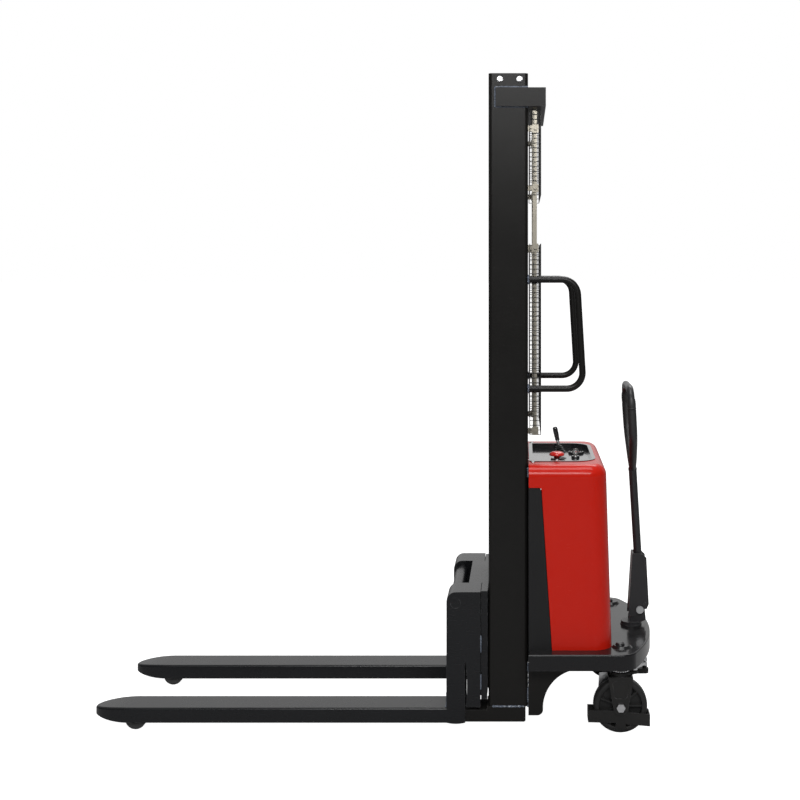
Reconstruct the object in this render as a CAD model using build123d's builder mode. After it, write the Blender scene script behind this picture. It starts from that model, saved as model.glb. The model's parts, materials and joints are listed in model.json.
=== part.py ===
from build123d import *
from math import cos, pi, radians, sin
import os

os.makedirs("parts", exist_ok=True)

# A pedestrian stacker. Forks point to -X, the operator stands at +X, the floor is Z = 0.
# "near" pieces lie at -Y and "far" pieces at +Y. Millimetres throughout.

# ---- driving dimensions -------------------------------------------------------------
front_x = -892.0
rear_x = 892.0
mast_top_z = 2074.0
clearance = 0.3          # gap between pieces of different bodies
fit = 0.05               # radial play of a running fit

fork_width = 120.0
fork_outer_y = 275.0
fork_y = fork_outer_y - fork_width / 2
fork_top_z = 75.0
fork_skirt_z = 29.0
fork_plate = 5.0
nose_length = 128.0
nose_top_z = 66.0
shank_front_x = 228.0
shank_rear_x = 335.0
shank_split_x = 287.0
shank_top_z = 440.0
shank_plate = 8.0
shank_bend_r = 30.0
fork_shaft_x = 257.0
fork_shaft_z = 405.0
fork_shaft_r = 16.0

leg_width = 100.0
leg_top_z = 66.0
leg_front_x = -798.0
leg_rear_x = 477.0
foot_top_z = 77.0
load_roller_x = -757.0
load_roller_r = 33.0
load_roller_width = 78.0
load_axle_r = 10.0

mast_front_x = 360.0
mast_rear_x = 485.0
mast_outer_y = 265.0
channel_depth = 60.0
channel_web = 8.0
channel_flange = 12.0
mast_corner_r = 12.0

lift_x = 440.0           # axis of the lift cylinder
barrel_r = 28.0
barrel_top_z = 1108.0
rod_r = 17.0
sheave_z = 1200.0
sheave_pitch_r = 38.0
chain_thickness = 10.0
chain_width = 16.0
chain_anchor_z = 175.0
rear_anchor_z = 1140.0

carriage_roller_x = 422.5
carriage_roller_r = 50.0
carriage_roller_zs = (165.0, 385.0)
carriage_plate_y = 191.0
carriage_plate = 12.0

platform_front_x = 486.0
platform_half_width = 347.0
platform_top_z = 264.0
platform_skirt = 50.0
platform_plate = 4.0
platform_rear_r = 750.0
under_deck_z = platform_top_z - platform_plate
beam_bottom_z = 212.0

cover_half_width = 300.0
cover_top_z = 841.0
cover_front_x = 487.0
cover_rear_top_x = 732.0
cover_rear_bottom_x = 750.0
cover_wall = 3.0
notch_top_z = 772.0
notch_top_x = 527.0
notch_bottom_x = 560.0
notch_r = 9.0
panel_floor_z = 826.0
panel_rim_z = 843.0

caster_x = 775.0
caster_y = 265.0
wheel_r = 85.0
wheel_width = 44.0
caster_axle_r = 8.0
crown_bottom_z = 173.0
crown_top_z = 179.0
race_r = 33.0
steer_arm = 46.0
steer_x = 832.0
arm_rod_z = 199.0
crank_rod_zs = {"near": 130.0, "far": 145.0}
tie_rod_r = 5.0
tie_pin_r = 4.0

pivot_x = 859.0
pivot_z = 320.0
pivot_r = 8.0
tiller_lean = 3.4        # degrees towards the mast
loop_base_x = 837.5
loop_base_z = 784.0
loop_height = 279.0
loop_half_width = 120.0
loop_tube_r = 12.0
stick_r = 13.5

stick_x = 596.0
stick_y = 25.0
stick_lean = 12.0
stop_x, stop_y = 580.0, -105.0
key_x, key_y = 644.0, -30.0
gauge_x, gauge_y = 650.0, 75.0

sides = (("near", -1), ("far", 1))


def side_plane(y):
    """Vertical plane along the truck at distance y from its centre line."""
    return Plane.XZ.offset(-y)


def save(piece, name):
    """Label a finished piece and write it to its own file."""
    piece.part.label = name
    export_step(piece.part, f"parts/{name}.step")


def block(x_range, y_range, z_range, mode=Mode.ADD):
    """A box between two corners, joined to or cut from the part being made."""
    size = [high - low for low, high in (x_range, y_range, z_range)]
    centre = [(high + low) / 2 for low, high in (x_range, y_range, z_range)]
    with Locations(tuple(centre)):
        Box(*size, mode=mode)


def rod_along_y(x, z, y_low, y_high, radius, mode=Mode.ADD):
    """A cylinder whose axis runs across the truck."""
    with Locations(Location((x, (y_low + y_high) / 2, z), (90, 0, 0))):
        Cylinder(radius, y_high - y_low, mode=mode)


def rod_along_z(x, y, z_low, z_high, radius, mode=Mode.ADD):
    """A cylinder standing upright."""
    with Locations((x, y, (z_low + z_high) / 2)):
        Cylinder(radius, z_high - z_low, mode=mode)


# ---- legs: low box beams that run forward inside the forks ---------------------------
for side, sign in sides:
    leg_y = sign * fork_y
    half = leg_width / 2
    wall = 8.0
    with BuildPart() as leg:
        block((leg_front_x, leg_rear_x), (leg_y - half, leg_y + half), (fork_skirt_z, leg_top_z))
        chamfer(leg.edges().filter_by(Axis.Y).group_by(Axis.X)[-1], 4)
        block((leg_front_x + 90, leg_rear_x - 6), (leg_y - half + wall, leg_y + half - wall),
              (fork_skirt_z + 6, leg_top_z - 6), Mode.SUBTRACT)
        block((leg_front_x - 1, leg_front_x + 84), (leg_y - half + wall, leg_y + half - wall),
              (fork_skirt_z - 1, leg_top_z + 1), Mode.SUBTRACT)
        fillet(leg.edges().filter_by(Axis.Y).group_by(Axis.X)[0], 12)
        rod_along_y(load_roller_x, load_roller_r, leg_y - half - 1, leg_y + half + 1,
                    load_axle_r + fit, Mode.SUBTRACT)
        rod_along_y(load_roller_x, load_roller_r, leg_y - half, leg_y + half, load_axle_r)
        foot_y = (sign * (fork_y - half), sign * mast_outer_y)
        block((mast_front_x - 5, leg_rear_x), (min(foot_y), max(foot_y)), (leg_top_z, foot_top_z))
    save(leg, f"leg_{side}")

    with BuildPart() as load_roller:
        rod_along_y(load_roller_x, load_roller_r, leg_y - load_roller_width / 2,
                    leg_y + load_roller_width / 2, load_roller_r)
        chamfer(load_roller.edges().filter_by(GeomType.CIRCLE), 3)
        rod_along_y(load_roller_x, load_roller_r, leg_y - half, leg_y + half,
                    load_axle_r + fit, Mode.SUBTRACT)
    save(load_roller, f"load_roller_{side}")

# ---- mast ----------------------------------------------------------------------------
for side, sign in sides:
    outer_y = sign * mast_outer_y
    inner_y = sign * (mast_outer_y - channel_depth)
    web_y = sign * (mast_outer_y - channel_web)
    with BuildPart() as channel:
        with BuildSketch(Plane.XY.offset(foot_top_z)):
            with BuildLine():
                Polyline(
                    (mast_front_x, outer_y), (mast_rear_x, outer_y), (mast_rear_x, inner_y),
                    (mast_rear_x - channel_flange, inner_y), (mast_rear_x - channel_flange, web_y),
                    (mast_front_x + channel_flange, web_y), (mast_front_x + channel_flange, inner_y),
                    (mast_front_x, inner_y), close=True)
            make_face()
        extrude(amount=mast_top_z - foot_top_z)
        upright = channel.edges().filter_by(Axis.Z)
        outer_edges = upright.filter_by_position(Axis.Y, outer_y - 0.1, outer_y + 0.1)
        fillet(outer_edges, mast_corner_r)
    save(channel, f"mast_channel_{side}")

beam_top_z = 2028.0
beam_bottom = 1969.0
beam_rear_x = 541.0
with BuildPart() as mast_top_beam:
    block((mast_rear_x, beam_rear_x), (-mast_outer_y, mast_outer_y), (beam_bottom, beam_top_z))
    block((mast_rear_x - 1, beam_rear_x - 6), (-mast_outer_y - 1, mast_outer_y + 1),
          (beam_bottom + 6, beam_top_z - 6), Mode.SUBTRACT)
    for side, sign in sides:
        plate_y = (sign * mast_outer_y, sign * (mast_outer_y + 10))
        block((mast_front_x + 23, beam_rear_x), (min(plate_y), max(plate_y)),
              (beam_bottom, beam_top_z))
save(mast_top_beam, "mast_top_beam")

with BuildPart() as cross_beams:
    flange_y = mast_outer_y - channel_depth
    block((mast_rear_x - 11, mast_rear_x), (-flange_y, flange_y), (1085, 1125))
    block((mast_rear_x - 13, mast_rear_x), (-14, 14), (1125, rear_anchor_z))
    inner_leg_y = fork_y - leg_width / 2
    block((380, leg_rear_x), (-inner_leg_y, inner_leg_y), (fork_skirt_z, foot_top_z))
    block((388, leg_rear_x - 8), (-inner_leg_y - 1, inner_leg_y + 1),
          (fork_skirt_z - 1, foot_top_z - 10), Mode.SUBTRACT)
save(cross_beams, "cross_beams")

with BuildPart() as gusset_plates:
    for side, sign in sides:
        with BuildSketch(side_plane(sign * 270)):
            with BuildLine():
                Line((mast_rear_x + 1, 52), (514, 52))
                RadiusArc((514, 52), (532, 70), -18)
                Line((532, 70), (532, 80))
                ThreePointArc((532, 80), (553, 144), (625, 194))
                Line((625, 194), (650, 214))
                Polyline((650, 214), (650, under_deck_z), (platform_front_x + 4.3, under_deck_z),
                         (platform_front_x + 4.3, 213.5), (mast_rear_x + 1, 213.5),
                         (mast_rear_x + 1, 52))
            make_face()
        extrude(amount=4, both=True)
save(gusset_plates, "gusset_plates")

with BuildPart() as fasteners:
    for side, sign in sides:
        for bolt_x in (396, 458):
            face = Plane(origin=(bolt_x, sign * mast_outer_y, 2055), z_dir=(0, sign, 0))
            with BuildSketch(face):
                Circle(11)
            extrude(amount=1.6)
            with BuildSketch(face.offset(1.6)):
                RegularPolygon(10, 6)
            extrude(amount=7)
    for screw_y in (-226, 226):
        with Locations((500, screw_y, cover_top_z)):
            Cone(6.5, 4, 3.5, align=(Align.CENTER, Align.CENTER, Align.MIN))
save(fasteners, "fasteners")

# ---- lift cylinder, chain and sheave -------------------------------------------------
with BuildPart() as lift_cylinder:
    rod_along_z(lift_x, 0, foot_top_z, foot_top_z + 12, 34)
    rod_along_z(lift_x, 0, foot_top_z + 12, barrel_top_z, barrel_r)
    rod_along_z(lift_x, 0, foot_top_z + 24, barrel_top_z - 28, barrel_r - 5, Mode.SUBTRACT)
    rod_along_z(lift_x, 0, barrel_top_z - 40, barrel_top_z + 1, rod_r + fit, Mode.SUBTRACT)
    chamfer(lift_cylinder.faces().sort_by(Axis.Z)[-1].outer_wire().edges(), 3)
save(lift_cylinder, "lift_cylinder")

yoke_base_z = 1144.0
with BuildPart() as piston_rod:
    rod_along_z(lift_x, 0, 210, yoke_base_z, rod_r)
    rod_along_z(lift_x, 0, 190, 210, barrel_r - 5 - clearance)
save(piston_rod, "piston_rod")

with BuildPart() as sheave_yoke:
    block((lift_x - 20, lift_x + 20), (-21, 21), (yoke_base_z, yoke_base_z + 10))
    for cheek in (-1, 1):
        with BuildSketch(side_plane(cheek * 18)):
            with Locations((lift_x, (yoke_base_z + sheave_z) / 2)):
                Rectangle(40, sheave_z - yoke_base_z)
            with Locations((lift_x, sheave_z)):
                Circle(20)
        extrude(amount=3, both=True)
    rod_along_y(lift_x, sheave_z, -24, 24, 8)
save(sheave_yoke, "sheave_yoke")

with BuildPart() as chain_sheave:
    rod_along_y(lift_x, sheave_z, -12, 12, sheave_pitch_r - chain_thickness / 2)
    for flange in (-1, 1):
        flange_y = (flange * 9, flange * 12)
        rod_along_y(lift_x, sheave_z, min(flange_y), max(flange_y), sheave_pitch_r + 6)
    rod_along_y(lift_x, sheave_z, -13, 13, 8 + fit, Mode.SUBTRACT)
save(chain_sheave, "chain_sheave")

chain_half = chain_thickness / 2
with BuildPart() as chain_wrap:
    wrap_outer = sheave_pitch_r + chain_half - clearance
    wrap_inner = sheave_pitch_r - chain_half + clearance
    rod_along_y(lift_x, sheave_z, -chain_width / 2, chain_width / 2, wrap_outer)
    rod_along_y(lift_x, sheave_z, -chain_width / 2, chain_width / 2, wrap_inner, Mode.SUBTRACT)
    block((lift_x - 60, lift_x + 60), (-20, 20), (sheave_z - 60, sheave_z), Mode.SUBTRACT)
save(chain_wrap, "chain_wrap")

with BuildPart() as chain_front:
    strand_x = lift_x - sheave_pitch_r
    block((strand_x - chain_half + clearance, strand_x + chain_half - clearance),
          (-chain_width / 2, chain_width / 2), (chain_anchor_z, sheave_z - clearance))
save(chain_front, "chain_front")

with BuildPart() as chain_rear:
    strand_x = lift_x + sheave_pitch_r
    block((strand_x - chain_half + clearance, strand_x + chain_half - clearance),
          (-chain_width / 2, chain_width / 2), (rear_anchor_z, sheave_z - clearance))
save(chain_rear, "chain_rear")

# ---- carriage ------------------------------------------------------------------------
with BuildPart() as carriage_frame:
    block((shank_rear_x + 2, mast_front_x - 3), (-262, 262), (118, shank_top_z))
    block((shank_rear_x, mast_front_x), (-135, 135), (196, 360), Mode.SUBTRACT)
    for side, sign in sides:
        y_low, y_high = sorted((sign * (carriage_plate_y - carriage_plate / 2),
                                sign * (carriage_plate_y + carriage_plate / 2)))
        block((mast_front_x - 3, 466), (y_low, y_high), (112, 436))
        for roller_z in carriage_roller_zs:
            stub = sorted((sign * carriage_plate_y, sign * 254))
            rod_along_y(carriage_roller_x, roller_z, stub[0], stub[1], 15)
        lug_y = sorted((sign * 243, sign * 262))
        block((shank_rear_x + 2, mast_front_x - 4), lug_y, (99, 118))
        tongue_y = sorted((sign * (fork_outer_y - 22), sign * (fork_outer_y - fork_width + 22)))
        block((shank_rear_x - 6, shank_rear_x + 2), tongue_y, (130, shank_top_z - 30))
    block((294, shank_rear_x + 2), (-fork_y + fork_width / 2, fork_y - fork_width / 2),
          (384, shank_top_z))
    block((mast_front_x - 3, lift_x - barrel_r - 4), (-14, 14), (150, chain_anchor_z))
save(carriage_frame, "carriage_frame")

for level, roller_z in zip(("lower", "upper"), carriage_roller_zs):
    with BuildPart() as carriage_rollers:
        for side, sign in sides:
            y_low, y_high = sorted((sign * 220, sign * 253))
            rod_along_y(carriage_roller_x, roller_z, y_low, y_high, carriage_roller_r)
        chamfer(carriage_rollers.edges().filter_by(GeomType.CIRCLE), 2)
        rod_along_y(carriage_roller_x, roller_z, -260, 260, 15 + fit, Mode.SUBTRACT)
    save(carriage_rollers, f"carriage_rollers_{level}")


def fork_body(inset):
    """Tine with its rounded nose: plan outline crossed with its side profile."""
    top = fork_top_z - inset
    nose_start = front_x + nose_length
    with BuildPart() as tine:
        with BuildSketch(Plane.XY):
            with Locations(((nose_start + shank_split_x + inset) / 2, 0)):
                Rectangle(shank_split_x + inset - nose_start, fork_width - 2 * inset)
            with Locations((nose_start, 0)):
                Ellipse(nose_length - inset, fork_width / 2 - inset)
        extrude(amount=top)
        low = fork_skirt_z if inset == 0 else 0
        with BuildSketch(Plane.XZ):
            with BuildLine():
                Line((shank_split_x + inset, low), (-767, low))
                if inset == 0:
                    ThreePointArc((-767, low), (-838, 33), (front_x, 44))
                    Line((front_x, 44), (front_x, nose_top_z))
                else:
                    Line((-767, low), (front_x, low))
                    Line((front_x, low), (front_x, nose_top_z - inset))
                ThreePointArc((front_x, nose_top_z - inset), (-836, 72.6 - inset), (-775, top))
                Line((-775, top), (shank_split_x + inset, top))
                Line((shank_split_x + inset, top), (shank_split_x + inset, low))
            make_face()
        extrude(amount=fork_width, both=True, mode=Mode.INTERSECT)
        if inset == 0:
            rim = tine.edges().filter_by_position(Axis.Z, nose_top_z - 0.5, top + 0.1)
            rim = rim.filter_by_position(Axis.X, front_x - 1, shank_split_x - 1)
            fillet(rim, 7)
    return tine.part


for side, sign in sides:
    tine_y = sign * fork_y
    with BuildPart() as fork:
        with Locations((0, tine_y, 0)):
            add(fork_body(0))
            add(fork_body(fork_plate), mode=Mode.SUBTRACT)
        for edge_y in (-1, 1):
            plate_y = tine_y + edge_y * (fork_width - shank_plate) / 2
            with BuildSketch(side_plane(plate_y)):
                with BuildLine():
                    Line((shank_front_x, shank_top_z - 30), (shank_front_x, fork_skirt_z))
                    ThreePointArc((shank_front_x, fork_skirt_z), (257, 25.5),
                                  (shank_split_x, fork_skirt_z))
                    Line((shank_split_x, fork_skirt_z), (shank_split_x, foot_top_z + 1))
                    Line((shank_split_x, foot_top_z + 1), (shank_rear_x, foot_top_z + 1))
                    Line((shank_rear_x, foot_top_z + 1), (shank_rear_x, shank_top_z))
                    Line((shank_rear_x, shank_top_z), (shank_front_x + 30, shank_top_z))
                    RadiusArc((shank_front_x + 30, shank_top_z), (shank_front_x, shank_top_z - 30),
                              -30)
                make_face()
                with BuildLine():
                    Line((shank_split_x, foot_top_z), (shank_split_x - 1, 230))
                    ThreePointArc((shank_split_x - 1, 230), (shank_split_x + 6, 150),
                                  (shank_split_x + 2, foot_top_z))
                    Line((shank_split_x + 2, foot_top_z), (shank_split_x, foot_top_z))
                make_face(mode=Mode.SUBTRACT)
                with Locations((fork_shaft_x, fork_shaft_z)):
                    Circle(fork_shaft_r + fit, mode=Mode.SUBTRACT)
            extrude(amount=shank_plate / 2, both=True)
        inner = (tine_y - fork_width / 2 + shank_plate, tine_y + fork_width / 2 - shank_plate)
        bend_x, bend_z = shank_front_x + shank_bend_r, shank_top_z - shank_bend_r
        block((shank_front_x, shank_front_x + shank_plate), inner, (fork_top_z - 5, bend_z))
        block((bend_x, shank_rear_x), inner, (shank_top_z - 6, shank_top_z))
        with BuildSketch(side_plane(tine_y)):
            with BuildLine():
                ThreePointArc((shank_front_x, bend_z),
                              (bend_x - shank_bend_r * cos(pi / 4), bend_z + shank_bend_r * sin(pi / 4)),
                              (bend_x, shank_top_z))
                Line((bend_x, shank_top_z), (bend_x, shank_top_z - 6))
                ThreePointArc((bend_x, shank_top_z - 6),
                              (bend_x - 23 * cos(pi / 4), bend_z + 23 * sin(pi / 4)),
                              (shank_front_x + shank_plate, bend_z))
                Line((shank_front_x + shank_plate, bend_z), (shank_front_x, bend_z))
            make_face()
        extrude(amount=fork_width / 2 - shank_plate, both=True)
    save(fork, f"fork_{side}")

with BuildPart() as fork_shaft:
    gap_y = fork_y - fork_width / 2
    rod_along_y(fork_shaft_x, fork_shaft_z, -fork_outer_y, fork_outer_y, fork_shaft_r)
    rod_along_y(fork_shaft_x, fork_shaft_z, -gap_y, gap_y, 21)
save(fork_shaft, "fork_shaft")


# ---- platform and casters --------------------------------------------------------------
def platform_outline(inset):
    """Plan of the pressed deck: straight sides and a bowed rear edge."""
    bow = rear_x - platform_rear_r
    corner_x = bow + (platform_rear_r ** 2 - platform_half_width ** 2) ** 0.5
    with BuildSketch() as plan:
        with BuildLine():
            Line((platform_front_x, -platform_half_width), (corner_x, -platform_half_width))
            RadiusArc((corner_x, -platform_half_width), (corner_x, platform_half_width),
                      -platform_rear_r)
            Line((corner_x, platform_half_width), (platform_front_x, platform_half_width))
            Line((platform_front_x, platform_half_width), (platform_front_x, -platform_half_width))
        make_face()
        fillet(plan.vertices().group_by(Axis.X)[-1], 52)
        if inset:
            offset(amount=-inset, kind=Kind.INTERSECTION)
    return plan.sketch


with BuildPart() as platform:
    with BuildSketch(Plane.XY.offset(platform_top_z - platform_skirt)):
        add(platform_outline(0))
    extrude(amount=platform_skirt)
    fillet(platform.faces().sort_by(Axis.Z)[-1].outer_wire().edges(), 5)
    with BuildSketch(Plane.XY.offset(platform_top_z - platform_skirt)):
        add(platform_outline(platform_plate))
    extrude(amount=platform_skirt - platform_plate, mode=Mode.SUBTRACT)
    for side, sign in sides:
        with BuildSketch(Plane.XY.offset(platform_top_z - 1)):
            with Locations((caster_x + 6, sign * caster_y)):
                Circle(34)
        extrude(amount=9, taper=45)
        rod_along_z(caster_x, sign * caster_y, platform_top_z - 10, platform_top_z + 12,
                    8 + fit, Mode.SUBTRACT)
    rod_along_z(steer_x, 0, platform_top_z - 10, platform_top_z + 10, 24, Mode.SUBTRACT)
save(platform, "platform")

with BuildPart() as rear_beam:
    block((745, 806), (-318, 318), (beam_bottom_z, under_deck_z))
    block((751, 800), (-319, 319), (beam_bottom_z + 6, under_deck_z + 1), Mode.SUBTRACT)
    for side, sign in sides:
        rod_along_z(caster_x, sign * caster_y, beam_bottom_z - 1, beam_bottom_z + 8,
                    8 + fit, Mode.SUBTRACT)
save(rear_beam, "rear_beam")

with BuildPart() as caster_kingpins:
    for side, sign in sides:
        pin_y = sign * caster_y
        rod_along_z(caster_x, pin_y, crown_bottom_z + 1, platform_top_z + 8, 8)
        with Locations((caster_x, pin_y, platform_top_z + 8)):
            Cone(15, 9, 7, align=(Align.CENTER, Align.CENTER, Align.MIN))
        rod_along_z(caster_x, pin_y, 200, beam_bottom_z, race_r)
        rod_along_z(caster_x, pin_y, 191, 200, race_r - 5)
        with Locations((caster_x, pin_y, 195.5)):
            with PolarLocations(race_r - 4, 22):
                Sphere(3.8)
save(caster_kingpins, "caster_kingpins")

for side, sign in sides:
    wheel_y = sign * caster_y
    with BuildPart() as caster_fork:
        block((caster_x - 38.5, caster_x + 38.5), (wheel_y - 35, wheel_y + 35),
              (crown_bottom_z, crown_top_z))
        for leg_side in (-1, 1):
            with BuildSketch(side_plane(wheel_y + leg_side * 32.5)):
                with BuildLine():
                    Polyline((caster_x - 38.5, crown_top_z), (caster_x + 38.5, crown_top_z),
                             (caster_x + 37.5, 164), (caster_x + 27, 103),
                             (caster_x + 23, wheel_r), (caster_x - 23, wheel_r),
                             (caster_x - 27, 103), (caster_x - 37.5, 164), close=True)
                make_face()
                with Locations((caster_x, wheel_r)):
                    Circle(24)
                    Circle(caster_axle_r + fit, mode=Mode.SUBTRACT)
            extrude(amount=2.5, both=True)
            face_y = wheel_y + leg_side * 35
            with BuildSketch(Plane(origin=(caster_x, face_y, 0), x_dir=(1, 0, 0),
                                   z_dir=(0, leg_side, 0)) if leg_side < 0
                             else Plane(origin=(caster_x, face_y, 0), x_dir=(-1, 0, 0),
                                        z_dir=(0, leg_side, 0))):
                with BuildLine():
                    Polyline((-27, 166), (27, 166), (19, 113), (-19, 113), close=True)
                make_face()
                fillet(vertices(), 8)
            extrude(amount=-1.6, mode=Mode.SUBTRACT)
        rod_along_z(caster_x, wheel_y, crown_top_z, 190.5, race_r)
        arm_x = caster_x + steer_arm
        block((caster_x, arm_x), (wheel_y - 11, wheel_y + 11), (crown_top_z + 4, 190))
        rod_along_z(arm_x, wheel_y, crown_top_z + 4, 190, 11)
        rod_along_z(arm_x, wheel_y, 190, 208, tie_pin_r)
        rod_along_z(caster_x, wheel_y, crown_bottom_z - 1, 191, 8 + fit, Mode.SUBTRACT)
    save(caster_fork, f"caster_fork_{side}")

    with BuildPart() as foot_guard:
        with BuildSketch(side_plane(wheel_y)):
            with BuildLine():
                Polyline((673, 37), (673, 75), (770, 72), (867, 61), (867, 24), (789, 31),
                         (796, 15), (754, 15), (761, 35), close=True)
            make_face()
        extrude(amount=28, both=True)
        block((676.5, 863.5), (wheel_y - 24.8, wheel_y + 24.8), (0, 120), Mode.SUBTRACT)
        rod_along_y(caster_x, wheel_r, wheel_y - 40, wheel_y + 40, 18, Mode.SUBTRACT)
    save(foot_guard, f"foot_guard_{side}")

    with BuildPart() as caster_axle:
        rod_along_y(caster_x, wheel_r, wheel_y - 40, wheel_y + 40, caster_axle_r)
        for end in (-1, 1):
            with BuildSketch(side_plane(wheel_y + end * 39)):
                with Locations((caster_x, wheel_r)):
                    RegularPolygon(14, 6)
            extrude(amount=4, both=True)
            collar_y = sorted((wheel_y + end * (wheel_width / 2 + clearance), wheel_y + end * 30))
            rod_along_y(caster_x, wheel_r, collar_y[0], collar_y[1], 14)
    save(caster_axle, f"caster_axle_{side}")

    with BuildPart() as caster_wheel:
        half = wheel_width / 2
        rod_along_y(caster_x, wheel_r, wheel_y - half, wheel_y + half, wheel_r)
        fillet(caster_wheel.edges().filter_by(GeomType.CIRCLE), 7)
        for face_side in (-1, 1):
            pocket = sorted((wheel_y + face_side * 5, wheel_y + face_side * (half + 1)))
            rod_along_y(caster_x, wheel_r, pocket[0], pocket[1], 68, Mode.SUBTRACT)
        rod_along_y(caster_x, wheel_r, wheel_y - half, wheel_y + half, 22)
        for spoke in range(9):
            angle = radians(spoke * 40)
            with Locations(Location((caster_x + 45 * cos(angle), wheel_y,
                                     wheel_r + 45 * sin(angle)), (0, -spoke * 40, 0))):
                Box(50, wheel_width - 12, 5)
        rod_along_y(caster_x, wheel_r, wheel_y - half - 1, wheel_y + half + 1,
                    caster_axle_r + fit, Mode.SUBTRACT)
    save(caster_wheel, f"caster_wheel_{side}")

# ---- steering and tiller ---------------------------------------------------------------
with BuildPart() as steering_bearing:
    rod_along_z(steer_x, 0, 226, platform_top_z, 24)
    rod_along_z(steer_x, 0, platform_top_z, platform_top_z + 4, 36)
    rod_along_z(steer_x, 0, 220, platform_top_z + 5, 12 + fit, Mode.SUBTRACT)
save(steering_bearing, "steering_bearing")

with BuildPart() as tiller_clevis:
    rod_along_z(steer_x, 0, 118, platform_top_z + 5, 12)
    rod_along_z(steer_x, 0, platform_top_z + 4.3, platform_top_z + 13, 34)
    for lug in (-1, 1):
        with BuildSketch(side_plane(lug * 21)):
            with BuildLine():
                Polyline((824, 276), (862, 276), (880, 284), (876, pivot_z), (842, pivot_z),
                         (824, 290), close=True)
            make_face()
            with Locations((pivot_x, pivot_z)):
                Circle(17)
        extrude(amount=4, both=True)
    rod_along_y(pivot_x, pivot_z, -26, 26, pivot_r, Mode.SUBTRACT)
save(tiller_clevis, "tiller_clevis")

crank_pin_x = steer_x + steer_arm
with BuildPart() as steering_crank:
    rod_along_z(steer_x, 0, 98, 118, 17)
    block((steer_x, crank_pin_x), (-13, 13), (100, 116))
    rod_along_z(crank_pin_x, 0, 100, 116, 13)
    rod_along_z(crank_pin_x, 0, 116, 156, tie_pin_r)
    rod_along_z(crank_pin_x, 0, 116, 124.5, 8)
save(steering_crank, "steering_crank")

for side, sign in sides:
    arm_end = Vector(caster_x + steer_arm, sign * caster_y, arm_rod_z)
    crank_end = Vector(crank_pin_x, 0, crank_rod_zs[side])
    with BuildPart() as tie_rod:
        with BuildSketch(Plane(origin=arm_end, z_dir=crank_end - arm_end)):
            Circle(tie_rod_r)
        extrude(amount=(crank_end - arm_end).length)
        for end in (arm_end, crank_end):
            rod_along_z(end.X, end.Y, end.Z - 5.3, end.Z + 5.3, 9)
        for end in (arm_end, crank_end):
            rod_along_z(end.X, end.Y, end.Z - 12, end.Z + 12, tie_pin_r + fit, Mode.SUBTRACT)
    save(tie_rod, f"tie_rod_{side}")

with BuildPart() as tiller_pivot_bolt:
    rod_along_y(pivot_x, pivot_z, -33, 33, pivot_r)
    for end in (-1, 1):
        cap_y = sorted((end * 32.5, end * 38))
        rod_along_y(pivot_x, pivot_z, cap_y[0], cap_y[1], 12.5)
save(tiller_pivot_bolt, "tiller_pivot_bolt")

lean = radians(tiller_lean)
up_tiller = Vector(-sin(lean), 0, cos(lean))
stick_length = 372.0
stick_foot = Vector(loop_base_x, 0, loop_base_z) - up_tiller * stick_length
with BuildPart() as tiller_bracket:
    for cheek in (-1, 1):
        with BuildSketch(side_plane(cheek * 29)):
            with BuildLine():
                Polyline((821, 299), (842, 299), (848, 316), (pivot_x, pivot_z), (882, 322),
                         (889, 338), (881, 492), (875, 498), (867, 505), (834, 507), close=True)
            make_face()
            with Locations((pivot_x, pivot_z)):
                Circle(16)
                Circle(pivot_r + fit, mode=Mode.SUBTRACT)
        extrude(amount=3, both=True)
    with BuildSketch(side_plane(0)):
        with BuildLine():
            Polyline((823, 320), (827, 320), (839, 507), (834, 507), close=True)
        make_face()
    extrude(amount=27, both=True)
    for rib_z in (425, 470):
        block((838, 876), (-26, 26), (rib_z, rib_z + 6))
    with BuildSketch(Plane(origin=stick_foot, z_dir=up_tiller)):
        Circle(stick_r + fit)
    extrude(amount=stick_length, mode=Mode.SUBTRACT)
    rod_along_y(875, 341, -34, 34, 4)
save(tiller_bracket, "tiller_bracket")

tiller_plane = Plane(origin=(loop_base_x, 0, loop_base_z), x_dir=(0, 1, 0),
                     z_dir=(cos(lean), 0, sin(lean)))
with BuildPart() as tiller_stick:
    with BuildSketch(Plane(origin=stick_foot, z_dir=up_tiller)):
        Circle(stick_r)
    extrude(amount=stick_length - 6)
save(tiller_stick, "tiller_stick")

branch_foot = (0, 0)
branch_bend = (loop_half_width - 4, 118)
branch_top = (loop_half_width, loop_height)


def loop_half(hand):
    """Centre line of one half of the loop, from the stick up and over to the middle."""
    points = [branch_foot, branch_bend, branch_top, (0, loop_height)]
    return [(hand * across, up) for across, up in points]


with BuildPart() as tiller_loop:
    for hand in (-1, 1):
        with BuildLine(tiller_plane) as half_loop:
            FilletPolyline(*loop_half(hand), radius=48)
        with BuildSketch(Plane(origin=half_loop.line @ 0, z_dir=half_loop.line % 0)):
            Circle(loop_tube_r)
        sweep(path=half_loop.line)
    with Locations((loop_base_x, 0, loop_base_z)):
        Sphere(14.5)
save(tiller_loop, "tiller_loop")

with BuildPart() as tiller_grips:
    for hand in (-1, 1):
        bend, top = Vector(*branch_bend), Vector(*branch_top)
        low_end = bend + (top - bend) * 0.27
        high_end = bend + (top - bend) * 0.66
        grip_low = tiller_plane.from_local_coords((hand * low_end.X, low_end.Y, 0))
        grip_high = tiller_plane.from_local_coords((hand * high_end.X, high_end.Y, 0))
        with BuildSketch(Plane(origin=grip_low, z_dir=grip_high - grip_low)):
            Circle(14.5)
            Circle(loop_tube_r + 0.1, mode=Mode.SUBTRACT)
        extrude(amount=(grip_high - grip_low).length)
save(tiller_grips, "tiller_grips")

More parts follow.
